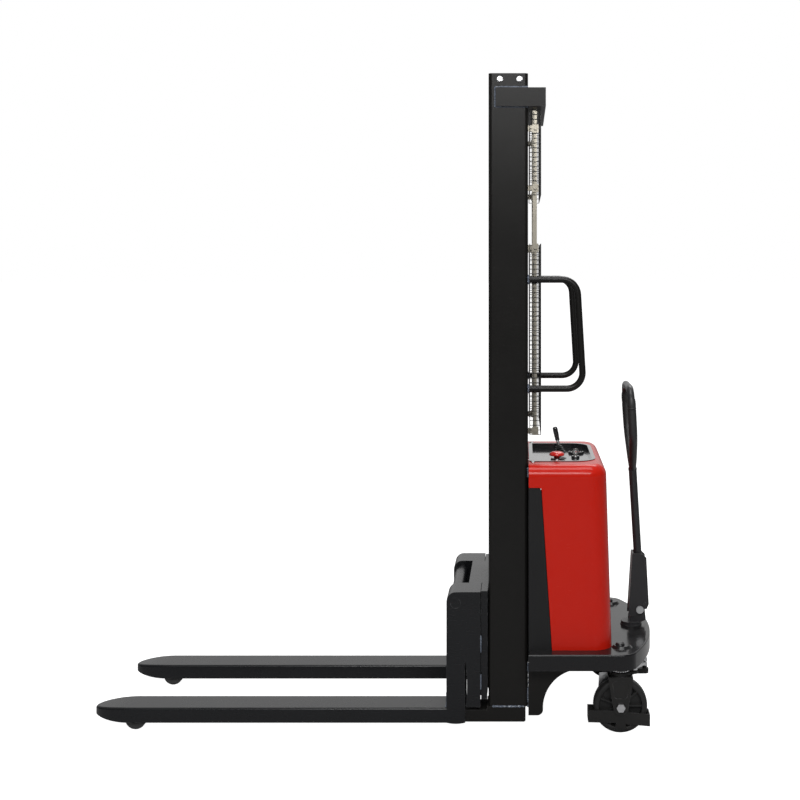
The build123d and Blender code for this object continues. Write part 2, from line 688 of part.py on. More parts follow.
# ---- covers and control panel ------------------------------------------------------------
def cover_body(inset):
    """Moulded hood: side profile across the truck, rounded rear corners and top edge."""
    side_y = cover_half_width - inset
    low = platform_top_z - (1 if inset else 0)
    front = cover_front_x - (1 if inset else 0)
    notch = -inset if inset else 0
    with BuildPart() as hood:
        with BuildSketch(side_plane(0)) as profile:
            with BuildLine():
                Polyline((front, notch_top_z), (notch_top_x + notch, notch_top_z),
                         (notch_bottom_x + notch, low), (cover_rear_bottom_x - inset, low),
                         (cover_rear_top_x - inset, cover_top_z - inset),
                         (front, cover_top_z - inset), close=True)
            make_face()
            corner = profile.vertices().sort_by_distance((notch_top_x + notch, notch_top_z))[0]
            fillet(corner, notch_r + inset)
        extrude(amount=side_y, both=True)
        tall = hood.edges().filter_by_position(Axis.X, cover_rear_top_x - inset - 1,
                                               cover_rear_bottom_x + 1)
        tall = tall.filter_by(lambda edge: abs(edge.tangent_at(0.5).Z) > 0.9)
        fillet(tall, 60 - inset)
        top_face = hood.faces().sort_by(Axis.Z)[-1]
        rim = top_face.outer_wire().edges()
        rim = rim.filter_by(lambda edge: edge.center().X > cover_front_x + 1)
        fillet(rim, 35 - inset)
    return hood.part


def panel_outline(margin):
    """Plan of the control tray, with wider rounding at the operator's side."""
    with BuildSketch() as plan:
        with Locations(((493 + 700) / 2, 0)):
            Rectangle(700 - 493 + 2 * margin, 2 * (210 + margin))
        fillet(plan.vertices().group_by(Axis.X)[-1], 70 + margin)
        fillet(plan.vertices().group_by(Axis.X)[0], 16 + margin)
    return plan.sketch


with BuildPart() as power_cover:
    add(cover_body(0))
    add(cover_body(cover_wall), mode=Mode.SUBTRACT)
    with BuildSketch(Plane.XY.offset(cover_top_z - 20)):
        add(panel_outline(-4))
    extrude(amount=30, mode=Mode.SUBTRACT)
save(power_cover, "power_cover")

with BuildPart() as front_cowl:
    with BuildSketch(side_plane(0)) as cowl_side:
        with BuildLine():
            Polyline((cover_front_x, platform_top_z), (notch_bottom_x - 1.5, platform_top_z),
                     (notch_top_x - 1.5, notch_top_z - 1.5), (cover_front_x, notch_top_z - 1.5),
                     close=True)
        make_face()
        fillet(cowl_side.vertices().sort_by_distance((notch_top_x, notch_top_z))[0], notch_r)
    extrude(amount=cover_half_width - 1, both=True)
    block((cover_front_x + 3, 600), (-cover_half_width + 5, cover_half_width - 5),
          (platform_top_z - 1, notch_top_z + 1), Mode.SUBTRACT)
save(front_cowl, "front_cowl")

with BuildPart() as control_panel:
    with BuildSketch(Plane.XY.offset(panel_floor_z - 3)):
        add(panel_outline(-4.4))
    extrude(amount=cover_top_z - panel_floor_z + 3)
    with BuildSketch(Plane.XY.offset(cover_top_z)):
        add(panel_outline(4))
    extrude(amount=panel_rim_z - cover_top_z)
    with BuildSketch(Plane.XY.offset(panel_floor_z)):
        add(panel_outline(-8))
    extrude(amount=30, mode=Mode.SUBTRACT)
save(control_panel, "control_panel")

lean_axis = Vector(-sin(radians(stick_lean)), 0, cos(radians(stick_lean)))
stick_pivot = Vector(stick_x, stick_y, panel_floor_z + 4)
with BuildPart() as joystick_boot:
    fold_count = 4
    boot_height = 30.0
    boot_plane = Plane(origin=stick_pivot, x_dir=(cos(radians(stick_lean)), 0,
                                                  sin(radians(stick_lean))), z_dir=(0, -1, 0))
    with BuildSketch(boot_plane):
        with BuildLine():
            outline = [(4.2, -12)]
            for fold in range(fold_count):
                fold_r = 22 - 2.2 * fold
                fold_z = boot_height * fold / fold_count - (12 if fold == 0 else 0)
                outline += [(fold_r, fold_z), (fold_r, boot_height * fold / fold_count + 3),
                            (fold_r - 4, boot_height * (fold + 1) / fold_count)]
            outline += [(4.2, boot_height)]
            Polyline(*outline, close=True)
        make_face()
    revolve(axis=Axis(stick_pivot, lean_axis))
    block((stick_x - 60, stick_x + 60), (stick_y - 60, stick_y + 60),
          (panel_floor_z - 40, panel_floor_z), Mode.SUBTRACT)
save(joystick_boot, "joystick_boot")

with BuildPart() as joystick_lever:
    with BuildSketch(Plane(origin=stick_pivot, z_dir=lean_axis)):
        Circle(3.8)
    extrude(amount=60)
    with BuildSketch(Plane(origin=stick_pivot + lean_axis * 48, z_dir=lean_axis)):
        Circle(8.5)
    extrude(amount=47)
    fillet(joystick_lever.edges().filter_by(GeomType.CIRCLE).sort_by(Axis.Z)[-1], 6)
save(joystick_lever, "joystick_lever")

with BuildPart() as panel_fittings:
    rod_along_z(stop_x, stop_y, panel_floor_z, 838, 21)
    rod_along_z(stop_x, stop_y, panel_floor_z + 1, 839, 10 + fit, Mode.SUBTRACT)
    rod_along_z(key_x, key_y, panel_floor_z, 834, 14)
    rod_along_z(key_x, key_y, panel_floor_z + 2, 835, 7 + fit, Mode.SUBTRACT)
    rod_along_z(gauge_x, gauge_y, panel_floor_z, 833, 27)
    rod_along_z(gauge_x, gauge_y, 831, 834, 23, Mode.SUBTRACT)
save(panel_fittings, "panel_fittings")

with BuildPart() as stop_button:
    rod_along_z(stop_x, stop_y, 834, 846, 10)
    rod_along_z(stop_x, stop_y, 845, 859, 25)
    fillet(stop_button.faces().sort_by(Axis.Z)[-1].edges(), 8)
save(stop_button, "stop_button")

with BuildPart() as ignition_key:
    rod_along_z(key_x, key_y, panel_floor_z + 3, 834.5, 7)
    block((key_x - 5, key_x + 5), (key_y - 1.2, key_y + 1.2), (834, 841))
    block((key_x - 11, key_x + 11), (key_y - 1.5, key_y + 1.5), (841, 858))
save(ignition_key, "ignition_key")

with BuildPart() as battery:
    block((575, 728), (-170, 170), (platform_top_z, 474))
    for pole_y in (-120, 120):
        rod_along_z(650, pole_y, 474, 492, 9)
save(battery, "battery")

with BuildPart() as oil_tank:
    block((566, 700), (-250, -20), (500, 640))
save(oil_tank, "oil_tank")

with BuildPart() as pump_motor:
    rod_along_y(635, 575, 20, 190, 52)
    rod_along_y(635, 575, -20, 20, 38)
save(pump_motor, "pump_motor")

# ---- guard and push handles ----------------------------------------------------------------
handle_y = 254.0
handle_r = 10.5
for side, sign in sides:
    with BuildPart() as push_handle:
        with BuildLine(side_plane(sign * handle_y)) as bend:
            FilletPolyline((mast_rear_x, 1423), (640, 1423), (660, 1078), (mast_rear_x, 1078),
                           radius=50)
        with BuildSketch(Plane(origin=bend.line @ 0, z_dir=bend.line % 0)):
            Circle(handle_r)
            Circle(handle_r - 2.5, mode=Mode.SUBTRACT)
        sweep(path=bend.line)
    save(push_handle, f"push_handle_{side}")

guard_y = 238.0
guard_rear_x = 527.0
with BuildPart() as guard_posts:
    for side, sign in sides:
        post_y = sorted((sign * (guard_y + 0.4), sign * (guard_y + 4.4)))
        block((500, 513), post_y, (930, beam_bottom))
        for lug_z in (943, 1524, 1713, 1902):
            block((mast_rear_x, 502), post_y, (lug_z - 9, lug_z + 9))
            clip_y = sorted((sign * (guard_y + 4.4), sign * (guard_y + 7)))
            block((498, 518), clip_y, (lug_z - 13, lug_z + 13))
            bolt_y = sorted((sign * (guard_y + 6), sign * (guard_y + 13)))
            rod_along_y(508, lug_z, bolt_y[0], bolt_y[1], 5)
save(guard_posts, "guard_posts")
for level, (low_z, high_z) in {"upper": (1690, 1955), "lower": (930, 1538)}.items():
    with BuildPart() as guard_mesh:
        block((guard_rear_x - 3, guard_rear_x), (-guard_y, guard_y), (low_z, high_z))
        for sign in (-1, 1):
            wing_y = sorted((sign * guard_y, sign * (guard_y - 3)))
            block((489, guard_rear_x), wing_y, (low_z, high_z))
    save(guard_mesh, f"guard_mesh_{level}")
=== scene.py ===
import json
from math import cos, pi, radians, sin

import bmesh
import bpy
from mathutils import Matrix, Vector


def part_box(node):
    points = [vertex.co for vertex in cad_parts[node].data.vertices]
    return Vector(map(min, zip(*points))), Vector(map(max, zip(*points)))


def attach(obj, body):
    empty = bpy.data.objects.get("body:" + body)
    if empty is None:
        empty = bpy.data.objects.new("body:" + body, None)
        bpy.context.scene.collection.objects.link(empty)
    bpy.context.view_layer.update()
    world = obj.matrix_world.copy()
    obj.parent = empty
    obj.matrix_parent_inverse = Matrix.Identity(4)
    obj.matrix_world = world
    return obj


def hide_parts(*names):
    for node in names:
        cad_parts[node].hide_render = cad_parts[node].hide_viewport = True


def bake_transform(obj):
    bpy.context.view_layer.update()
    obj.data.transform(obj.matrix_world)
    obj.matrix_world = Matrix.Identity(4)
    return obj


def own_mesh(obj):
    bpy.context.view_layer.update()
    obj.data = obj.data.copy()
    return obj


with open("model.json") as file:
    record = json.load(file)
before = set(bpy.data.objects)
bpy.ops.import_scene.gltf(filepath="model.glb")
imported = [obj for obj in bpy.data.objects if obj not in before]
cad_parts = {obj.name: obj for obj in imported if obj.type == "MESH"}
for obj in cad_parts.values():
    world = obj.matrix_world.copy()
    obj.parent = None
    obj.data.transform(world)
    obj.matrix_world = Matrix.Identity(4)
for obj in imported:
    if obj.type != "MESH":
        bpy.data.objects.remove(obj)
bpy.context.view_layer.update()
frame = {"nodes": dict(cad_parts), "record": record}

nodes = frame["nodes"]

MM = 0.001


def corners(node_name):
    """Lowest and highest corner of a CAD node at rest, as vectors."""
    low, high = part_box(node_name)
    return Vector(low), Vector(high)


# ---- shader building blocks ------------------------------------------------------------
FLOAT = "NodeSocketFloat"


def place(tree, kind, values=None, **settings):
    """Add a node, give it its settings, and fill or link its inputs."""
    made = tree.nodes.new(kind)
    for key, value in settings.items():
        setattr(made, key, value)
    for socket, value in (values or {}).items():
        target = made.inputs[socket]
        if isinstance(value, bpy.types.NodeSocket):
            tree.links.new(value, target)
        else:
            target.default_value = value
    return made


def calc(tree, operation, *terms, **settings):
    """Result of a Math node."""
    return place(tree, "ShaderNodeMath", dict(enumerate(terms)), operation=operation,
                 **settings).outputs[0]


def mix_value(tree, value, low, high, start=0.0, end=1.0):
    """Number that goes from low to high while the value goes from start to end."""
    return place(tree, "ShaderNodeMapRange",
                 {"Value": value, "From Min": start, "From Max": end, "To Min": low,
                  "To Max": high}).outputs["Result"]


def blend_colour(tree, mask, under, over):
    """Colour that goes from under to over where the mask is 1."""
    return place(tree, "ShaderNodeMix", {"Factor": mask, "A": under, "B": over},
                 data_type="RGBA").outputs["Result"]


def own_place(tree):
    """Place on the piece in its own Object coordinates."""
    return place(tree, "ShaderNodeTexCoord").outputs["Object"]


def noise(tree, where, scale, detail, roughness, distortion=0.0):
    """Noise between 0 and 1."""
    return place(tree, "ShaderNodeTexNoise",
                 {"Vector": where, "Scale": scale, "Detail": detail, "Roughness": roughness,
                  "Distortion": distortion}).outputs["Fac"]


def new_group(name, inputs, outputs):
    """Start a shader node group with named number sockets."""
    tree = bpy.data.node_groups.new(name, "ShaderNodeTree")
    for socket_name, default in inputs.items():
        socket = tree.interface.new_socket(socket_name, in_out="INPUT", socket_type=FLOAT)
        socket.default_value = default
    for socket_name in outputs:
        tree.interface.new_socket(socket_name, in_out="OUTPUT", socket_type=FLOAT)
    return tree, tree.nodes.new("NodeGroupInput").outputs, tree.nodes.new("NodeGroupOutput").inputs


def build_paint_film():
    """Orange peel of a sprayed or moulded gloss skin, and its slow tone drift; on the weld beads a
    fine drift spreads painted highlight.
    """
    tree, given, out = new_group("paint_film", {"Peel Scale": 400.0, "Drift Scale": 4.0},
                                 ["Peel", "Drift"])
    where = own_place(tree)
    tree.links.new(noise(tree, where, given["Peel Scale"], 2.0, 0.45), out["Peel"])
    tree.links.new(noise(tree, where, given["Drift Scale"], 4.0, 0.6), out["Drift"])
    return tree


def build_edge_wear_and_sheen():
    """Mask of edges, broken up by noise: rubbed wear on most finishes, painted highlight on the
    weld beads.
    """
    tree, given, out = new_group("edge_wear_and_sheen", {"Width": 0.003, "Break Up": 60.0, "Amount": 0.5},
                                 ["Mask"])
    rounded_edge = place(tree, "ShaderNodeBevel", {"Radius": given["Width"]}, samples=4)
    flat = place(tree, "ShaderNodeNewGeometry")
    likeness = place(tree, "ShaderNodeVectorMath",
                     {0: rounded_edge.outputs["Normal"], 1: flat.outputs["Normal"]},
                     operation="DOT_PRODUCT")
    edge = mix_value(tree, likeness.outputs["Value"], 0.0, 1.0, 0.995, 0.86)
    patchy = noise(tree, own_place(tree), given["Break Up"], 5.0, 0.65)
    worn_and_sheen = calc(tree, "MULTIPLY", edge, mix_value(tree, patchy, 0.0, 1.0, 0.45, 0.62))
    tree.links.new(calc(tree, "MULTIPLY", worn_and_sheen, given["Amount"]), out["Mask"])
    return tree


def build_settled_dust():
    """Mask of dust that lies on faces that look up."""
    tree, given, out = new_group("settled_dust", {"Amount": 0.2, "Scale": 25.0}, ["Mask"])
    facing_way = place(tree, "ShaderNodeNewGeometry").outputs["Normal"]
    upward = place(tree, "ShaderNodeSeparateXYZ", {0: facing_way}).outputs["Z"]
    clouds = noise(tree, own_place(tree), given["Scale"], 6.0, 0.7)
    lying = calc(tree, "MULTIPLY", mix_value(tree, upward, 0.0, 1.0, 0.55, 1.0),
                 mix_value(tree, clouds, 0.0, 1.0, 0.35, 0.75))
    tree.links.new(calc(tree, "MULTIPLY", lying, given["Amount"]), out["Mask"])
    return tree


def build_fine_scratches():
    """Hairline scuffs, long in one direction."""
    tree, given, out = new_group("fine_scratches", {"Scale": 60.0, "Amount": 0.3}, ["Mask"])
    stretch = place(tree, "ShaderNodeMapping",
                    {"Vector": own_place(tree), "Scale": (1.0, 14.0, 9.0)})
    lines = noise(tree, stretch.outputs["Vector"], given["Scale"], 3.0, 0.7, 0.3)
    sharp = mix_value(tree, lines, 0.0, 1.0, 0.62, 0.74)
    tree.links.new(calc(tree, "MULTIPLY", sharp, given["Amount"]), out["Mask"])
    return tree


PAINT_FILM = build_paint_film()
EDGE_WEAR_AND_SHEEN = build_edge_wear_and_sheen()
SETTLED_DUST = build_settled_dust()
FINE_SCRATCHES = build_fine_scratches()


def group(tree, shared, values):
    """Place a shared group with its own values, and give its outputs."""
    return place(tree, "ShaderNodeGroup", values, node_tree=shared).outputs


# ---- finishes ----------------------------------------------------------------------------
DUST_COLOUR = (0.33, 0.31, 0.29, 1)
RUBBED_COLOUR = (0.28, 0.28, 0.29)
COAT_ROUGHNESS = 0.06


def finish_skin(name, colour, tint, roughness, peel=(420.0, 0.02), drift=3.0, wear_and_sheen=0.25,
                worn_and_sheen=RUBBED_COLOUR, edge_width=0.0025, dust=0.12, scratch=0.15, coat=0.0,
                metallic=0.0, specular=0.5):
    """A coated or moulded surface: tone drift, orange peel, rubbed edges, dust and scuffs; on the
    weld beads the pale tint and the pale edges are painted highlight.
    """
    material = bpy.data.materials.new(name)
    material.use_nodes = True
    tree = material.node_tree
    shader = tree.nodes["Principled BSDF"].inputs
    peel_scale, peel_depth = peel
    film = group(tree, PAINT_FILM, {"Peel Scale": peel_scale, "Drift Scale": drift})
    wear_and_sheen_mask = group(tree, EDGE_WEAR_AND_SHEEN, {"Width": edge_width, "Break Up": 45.0, "Amount": wear_and_sheen})["Mask"]
    lies = group(tree, SETTLED_DUST, {"Amount": dust, "Scale": 22.0})["Mask"]
    scuffs = group(tree, FINE_SCRATCHES, {"Scale": 30.0, "Amount": scratch})["Mask"]
    base = blend_colour(tree, film["Drift"], (*colour, 1), (*tint, 1))
    # Edge colour: rubbed wear on most finishes, and painted highlight on the weld beads.
    with_wear_and_sheen = blend_colour(tree, wear_and_sheen_mask, base, (*worn_and_sheen, 1))
    tree.links.new(blend_colour(tree, lies, with_wear_and_sheen, DUST_COLOUR), shader["Base Color"])
    gloss = mix_value(tree, film["Drift"], roughness * 0.8, roughness * 1.2)
    scuffed = calc(tree, "ADD", gloss, scuffs, use_clamp=True)
    tree.links.new(calc(tree, "ADD", scuffed, lies, use_clamp=True), shader["Roughness"])
    bump = place(tree, "ShaderNodeBump",
                 {"Height": film["Peel"], "Strength": 1.0, "Distance": peel_depth * MM})
    tree.links.new(bump.outputs["Normal"], shader["Normal"])
    shader["Metallic"].default_value = metallic
    shader["Specular IOR Level"].default_value = specular
    shader["Coat Weight"].default_value = coat
    shader["Coat Roughness"].default_value = COAT_ROUGHNESS
    return material


mast_enamel = finish_skin("mast_enamel", (0.0055, 0.0052, 0.0049), (0.009, 0.0085, 0.0078), 0.3,
                          peel=(260.0, 0.05), dust=0.03, specular=0.2)
# Weld beads: the same dark enamel with painted highlight. The pale bluish tint, spread at a fine
# scale, and the pale bluish edge colour stand in for light glinting on the bead.
weld_enamel_painted_sheen = finish_skin("weld_enamel_painted_sheen", (0.008, 0.009, 0.011), (0.17, 0.2, 0.26), 0.22,
                          peel=(900.0, 0.1), drift=130.0, wear_and_sheen=0.5, worn_and_sheen=(0.4, 0.44, 0.52),
                          dust=0.05)
fork_enamel = finish_skin("fork_enamel", (0.0055, 0.0058, 0.0066), (0.009, 0.0095, 0.011), 0.26,
                          peel=(240.0, 0.04), dust=0.03, specular=0.28)
deck_enamel = finish_skin("deck_enamel", (0.006, 0.006, 0.0066), (0.009, 0.009, 0.010), 0.16,
                          peel=(200.0, 0.03), coat=0.12, dust=0.02, specular=0.22)
caster_enamel = finish_skin("caster_enamel", (0.010, 0.0098, 0.0096), (0.017, 0.0165, 0.016), 0.42,
                            peel=(700.0, 0.06), dust=0.06, specular=0.25)
tiller_enamel = finish_skin("tiller_enamel", (0.015, 0.015, 0.017), (0.024, 0.024, 0.026), 0.34,
                            dust=0.05, specular=0.35)
cover_skin = finish_skin("cover_skin", (0.44, 0.0085, 0.003), (0.49, 0.012, 0.004), 0.24,
                         peel=(500.0, 0.02), wear_and_sheen=0.0, dust=0.01, scratch=0.05, coat=0.08,
                         specular=0.17)
cowl_skin = finish_skin("cowl_skin", (0.008, 0.008, 0.0085), (0.012, 0.012, 0.0125), 0.5,
                        peel=(900.0, 0.06), wear_and_sheen=0.0, dust=0.03, specular=0.2)
panel_skin = finish_skin("panel_skin", (0.010, 0.010, 0.011), (0.016, 0.016, 0.018), 0.12,
                         wear_and_sheen=0.0, dust=0.02, coat=0.8)
boot_rubber = finish_skin("boot_rubber", (0.010, 0.010, 0.010), (0.017, 0.017, 0.017), 0.5,
                          peel=(1200.0, 0.05), wear_and_sheen=0.0, dust=0.05)
stop_skin = finish_skin("stop_skin", (0.5, 0.012, 0.008), (0.56, 0.016, 0.01), 0.22, wear_and_sheen=0.0,
                        dust=0.02, coat=0.3)
wheel_nylon = finish_skin("wheel_nylon", (0.012, 0.012, 0.012), (0.019, 0.019, 0.019), 0.42,
                          wear_and_sheen=0.0, dust=0.05, specular=0.25)
roller_urethane = finish_skin("roller_urethane", (0.03, 0.03, 0.031), (0.045, 0.045, 0.046), 0.4,
                              wear_and_sheen=0.0, dust=0.1)
guard_coat = finish_skin("guard_coat", (0.014, 0.014, 0.014), (0.022, 0.022, 0.022), 0.4,
                         wear_and_sheen=0.0, dust=0.02)
zinc = finish_skin("zinc", (0.50, 0.51, 0.52), (0.66, 0.66, 0.67), 0.3, peel=(700.0, 0.02),
                   wear_and_sheen=0.0, metallic=1.0, dust=0.03)
post_zinc = finish_skin("post_zinc", (0.27, 0.25, 0.21), (0.37, 0.345, 0.285), 0.36,
                        peel=(700.0, 0.02), wear_and_sheen=0.0, metallic=0.85, dust=0.03)
chrome_rod = finish_skin("chrome_rod", (0.75, 0.75, 0.77), (0.8, 0.8, 0.82), 0.08, wear_and_sheen=0.0,
                         metallic=1.0, dust=0.0, scratch=0.05)
chain_steel = finish_skin("chain_steel", (0.16, 0.155, 0.15), (0.26, 0.25, 0.24), 0.38,
                          wear_and_sheen=0.4, metallic=0.9)
dial_white = finish_skin("dial_white", (0.72, 0.72, 0.70), (0.78, 0.78, 0.76), 0.3, wear_and_sheen=0.0)

SLOT_FINISH = {
    "mast_paint": mast_enamel, "carriage_paint": fork_enamel, "deck_paint": deck_enamel,
    "caster_paint": caster_enamel, "guard_wire": guard_coat, "zinc_plate": zinc,
    "chrome_rod": chrome_rod, "cylinder_paint": mast_enamel, "chain_steel": chain_steel,
    "cover_red": cover_skin, "cowl_black": cowl_skin, "panel_black": panel_skin,
    "boot_rubber": boot_rubber, "stop_red": stop_skin, "tiller_paint": tiller_enamel,
    "wheel_nylon": wheel_nylon, "roller_urethane": roller_urethane, "roller_steel": chain_steel,
}
OWN_FINISH = {"guard_posts": post_zinc}
for part in frame["record"]["subparts"]:
    finish = OWN_FINISH.get(part["node"], SLOT_FINISH[part["material_slot"]])
    for material_slot in nodes[part["node"]].material_slots:
        material_slot.material = finish

# ---- making pieces ---------------------------------------------------------------------
SCENE = bpy.context.scene
TINY = 0.001 * MM


def stand(name, mesh, finish=None):
    """Put a finished mesh in the scene as one piece."""
    piece = bpy.data.objects.new(name, mesh)
    SCENE.collection.objects.link(piece)
    if finish:
        mesh.materials.clear()
        mesh.materials.append(finish)
    return piece


def soften(mesh, angle=35):
    """Smooth shading that keeps edges sharper than the angle."""
    mesh.polygons.foreach_set("use_smooth", [True] * len(mesh.polygons))
    mesh.set_sharp_from_angle(angle=radians(angle))
    return mesh


def shell(name, points, faces):
    """Closed mesh with its faces turned outwards."""
    mesh = bpy.data.meshes.new(name)
    work = bmesh.new()
    spots = [work.verts.new(point) for point in points]
    for face in faces:
        work.faces.new([spots[index] for index in face])
    bmesh.ops.recalc_face_normals(work, faces=work.faces)
    work.to_mesh(mesh)
    work.free()
    return soften(mesh)


def solid(name, lot, finish):
    """A closed piece from one (points, faces) lot."""
    return stand(name, shell(name, *lot), finish)


def lathe(profile, centre=(0, 0, 0), axis=(0, 0, 1), steps=48):
    """Points and faces of a turned shape: its (radius, height) profile goes pole to pole."""
    turn = Vector(axis).to_track_quat("Z", "Y").to_matrix()
    points, rings = [], []
    for radius, height in profile:
        if radius < TINY:
            rings.append([len(points)])
            points.append(Vector(centre) + turn @ Vector((0, 0, height)))
            continue
        ring = []
        for step in range(steps):
            angle = 2 * pi * step / steps
            ring.append(len(points))
            points.append(Vector(centre) + turn @ Vector((radius * cos(angle),
                                                          radius * sin(angle), height)))
        rings.append(ring)
    faces = []
    for low, high in zip(rings, rings[1:]):
        for step in range(steps):
            after = (step + 1) % steps
            if len(low) == 1 and len(high) > 1:
                faces.append((low[0], high[step], high[after]))
            elif len(high) == 1 and len(low) > 1:
                faces.append((low[step], low[after], high[0]))
            elif len(low) > 1:
                faces.append((low[step], low[after], high[after], high[step]))
    return points, faces


def joined(*lots):
    """Several (points, faces) lots as one."""
    points, faces = [], []
    for more_points, more_faces in lots:
        start = len(points)
        points += [Vector(point) for point in more_points]
        faces += [tuple(index + start for index in face) for face in more_faces]
    return points, faces


def ring_lathe(profile, centre, axis, steps=48):
    """Points and faces of a turned ring: the profile closes on itself."""
    turn = Vector(axis).to_track_quat("Z", "Y").to_matrix()
    points, count = [], len(profile)
    for step in range(steps):
        angle = 2 * pi * step / steps
        for radius, height in profile:
            points.append(Vector(centre) + turn @ Vector((radius * cos(angle),
                                                          radius * sin(angle), height)))
    faces = []
    for step in range(steps):
        here, after = step * count, (step + 1) % steps * count
        for index in range(count):
            nxt = (index + 1) % count
            faces.append((here + index, after + index, after + nxt, here + nxt))
    return points, faces


def slab(outline, low, high, rim=0.0, plane="XY", turn=Matrix.Identity(4)):
    """Points and faces of a plate: a flat outline raised from low to high, with a softened rim."""
    middle = sum((Vector(corner) for corner in outline), Vector((0, 0))) / len(outline)
    layers = [(low, 0.0), (high, 0.0)]
    if rim:
        layers = [(low, rim), (low + rim, 0.0), (high - rim, 0.0), (high - rim * 0.3, rim * 0.3),
                  (high, rim)]
    points, faces, count = [], [], len(outline)
    for height, inset in layers:
        for corner in outline:
            away = Vector(corner) - middle
            moved = middle + away * max(0.0, 1 - inset / max(away.length, TINY))
            spot = {"XY": (moved.x, moved.y, height), "XZ": (moved.x, height, moved.y)}[plane]
            points.append(turn @ Vector(spot))
    for layer in range(len(layers) - 1):
        for index in range(count):
            nxt = (index + 1) % count
            low_start, high_start = layer * count, (layer + 1) * count
            faces.append((low_start + index, low_start + nxt, high_start + nxt,
                          high_start + index))
    faces.append(tuple(range(count)))
    faces.append(tuple(range((len(layers) - 1) * count, len(layers) * count)))
    return points, faces


def rounded(width, depth, radius, centre=(0, 0), steps=6):
    """Outline of a rectangle with rounded corners."""
    outline = []
    for across, up, start in ((1, -1, -90), (1, 1, 0), (-1, 1, 90), (-1, -1, 180)):
        for step in range(steps + 1):
            angle = radians(start + 90 * step / steps)
            outline.append((centre[0] + across * (width / 2 - radius) + radius * cos(angle),
                            centre[1] + up * (depth / 2 - radius) + radius * sin(angle)))
    return outline


def tube(path, radii, steps=20):
    """Points and faces of a round bar along a path, closed with a cap at each end."""
    spots = [Vector(spot) for spot in path]
    side = None
    points, faces = [], []
    for index, spot in enumerate(spots):
        before = spots[max(index - 1, 0)]
        after = spots[min(index + 1, len(spots) - 1)]
        along = (after - before).normalized()
        if side is None:
            side = along.orthogonal().normalized()
        side = (side - along * side.dot(along)).normalized()
        other = along.cross(side)
        for step in range(steps):
            angle = 2 * pi * step / steps
            points.append(spot + (side * cos(angle) + other * sin(angle)) * radii[index])
    for index in range(len(spots) - 1):
        for step in range(steps):
            nxt = (step + 1) % steps
            faces.append((index * steps + step, index * steps + nxt,
                          (index + 1) * steps + nxt, (index + 1) * steps + step))
    faces.append(tuple(range(steps)))
    faces.append(tuple(range((len(spots) - 1) * steps, len(spots) * steps)))
    return points, faces


# ---- geometry node trees -----------------------------------------------------------------
def new_tree(name, inputs):
    """Start a geometry node tree with named inputs besides its geometry and finish."""
    tree = bpy.data.node_groups.new(name, "GeometryNodeTree")
    tree.interface.new_socket("Geometry", in_out="INPUT", socket_type="NodeSocketGeometry")
    for socket_name, kind, default in inputs + [("Finish", "NodeSocketMaterial", None)]:
        socket = tree.interface.new_socket(socket_name, in_out="INPUT", socket_type=kind)
        if default is not None:
            socket.default_value = default
    tree.interface.new_socket("Geometry", in_out="OUTPUT", socket_type="NodeSocketGeometry")
    return tree, tree.nodes.new("NodeGroupInput").outputs, tree.nodes.new("NodeGroupOutput")


def end_tree(tree, given, end, geometry):
    """Realize, give the finish and put out."""
    real = place(tree, "GeometryNodeRealizeInstances", {"Geometry": geometry})
    made = place(tree, "GeometryNodeSetMaterial",
                 {"Geometry": real.outputs["Geometry"], "Material": given["Finish"]})
    tree.links.new(made.outputs["Geometry"], end.inputs["Geometry"])


def grow(name, seed_mesh, tree, values):
    """Run a geometry node tree on a mesh and keep the result as a plain mesh piece."""
    holder = bpy.data.objects.new(name + "_seed", seed_mesh)
    SCENE.collection.objects.link(holder)
    step = holder.modifiers.new("grow", "NODES")
    step.node_group = tree
    for item in tree.interface.items_tree:
        if item.item_type == "SOCKET" and item.in_out == "INPUT" and item.name in values:
            step[item.identifier] = values[item.name]
    ready = holder.evaluated_get(bpy.context.evaluated_depsgraph_get())
    mesh = bpy.data.meshes.new_from_object(ready)
    bpy.data.objects.remove(holder)
    mesh.name = name
    return stand(name, soften(mesh, 40))


def build_copies():
    """Copies of one shape on marks, each turned by the mark's own turn."""
    tree, given, end = new_tree("copies_on_marks", [("Shape", "NodeSocketObject", None),
                                                    ("Size", FLOAT, 1.0)])
    shape = place(tree, "GeometryNodeObjectInfo", {"Object": given["Shape"]})
    turn = place(tree, "GeometryNodeInputNamedAttribute", {"Name": "turn"},
                 data_type="FLOAT_VECTOR")
    rotate = place(tree, "FunctionNodeEulerToRotation", {0: turn.outputs["Attribute"]})
    made = place(tree, "GeometryNodeInstanceOnPoints",
                 {"Points": given["Geometry"], "Instance": shape.outputs["Geometry"],
                  "Rotation": rotate.outputs[0], "Scale": given["Size"]})
    end_tree(tree, given, end, made.outputs["Instances"])
    return tree


def sweep_round(tree, path, radius, sides, scale=1.0):
    """Round bar along a curve."""
    section = place(tree, "GeometryNodeCurvePrimitiveCircle",
                    {"Resolution": sides, "Radius": radius})
    return place(tree, "GeometryNodeCurveToMesh",
                 {"Curve": path, "Profile Curve": section.outputs["Curve"], "Scale": scale,
                  "Fill Caps": True}).outputs["Mesh"]


def path_curve(tree, given):
    """The seed mesh's edges as a curve."""
    return place(tree, "GeometryNodeMeshToCurve", {"Mesh": given["Geometry"]}).outputs["Curve"]


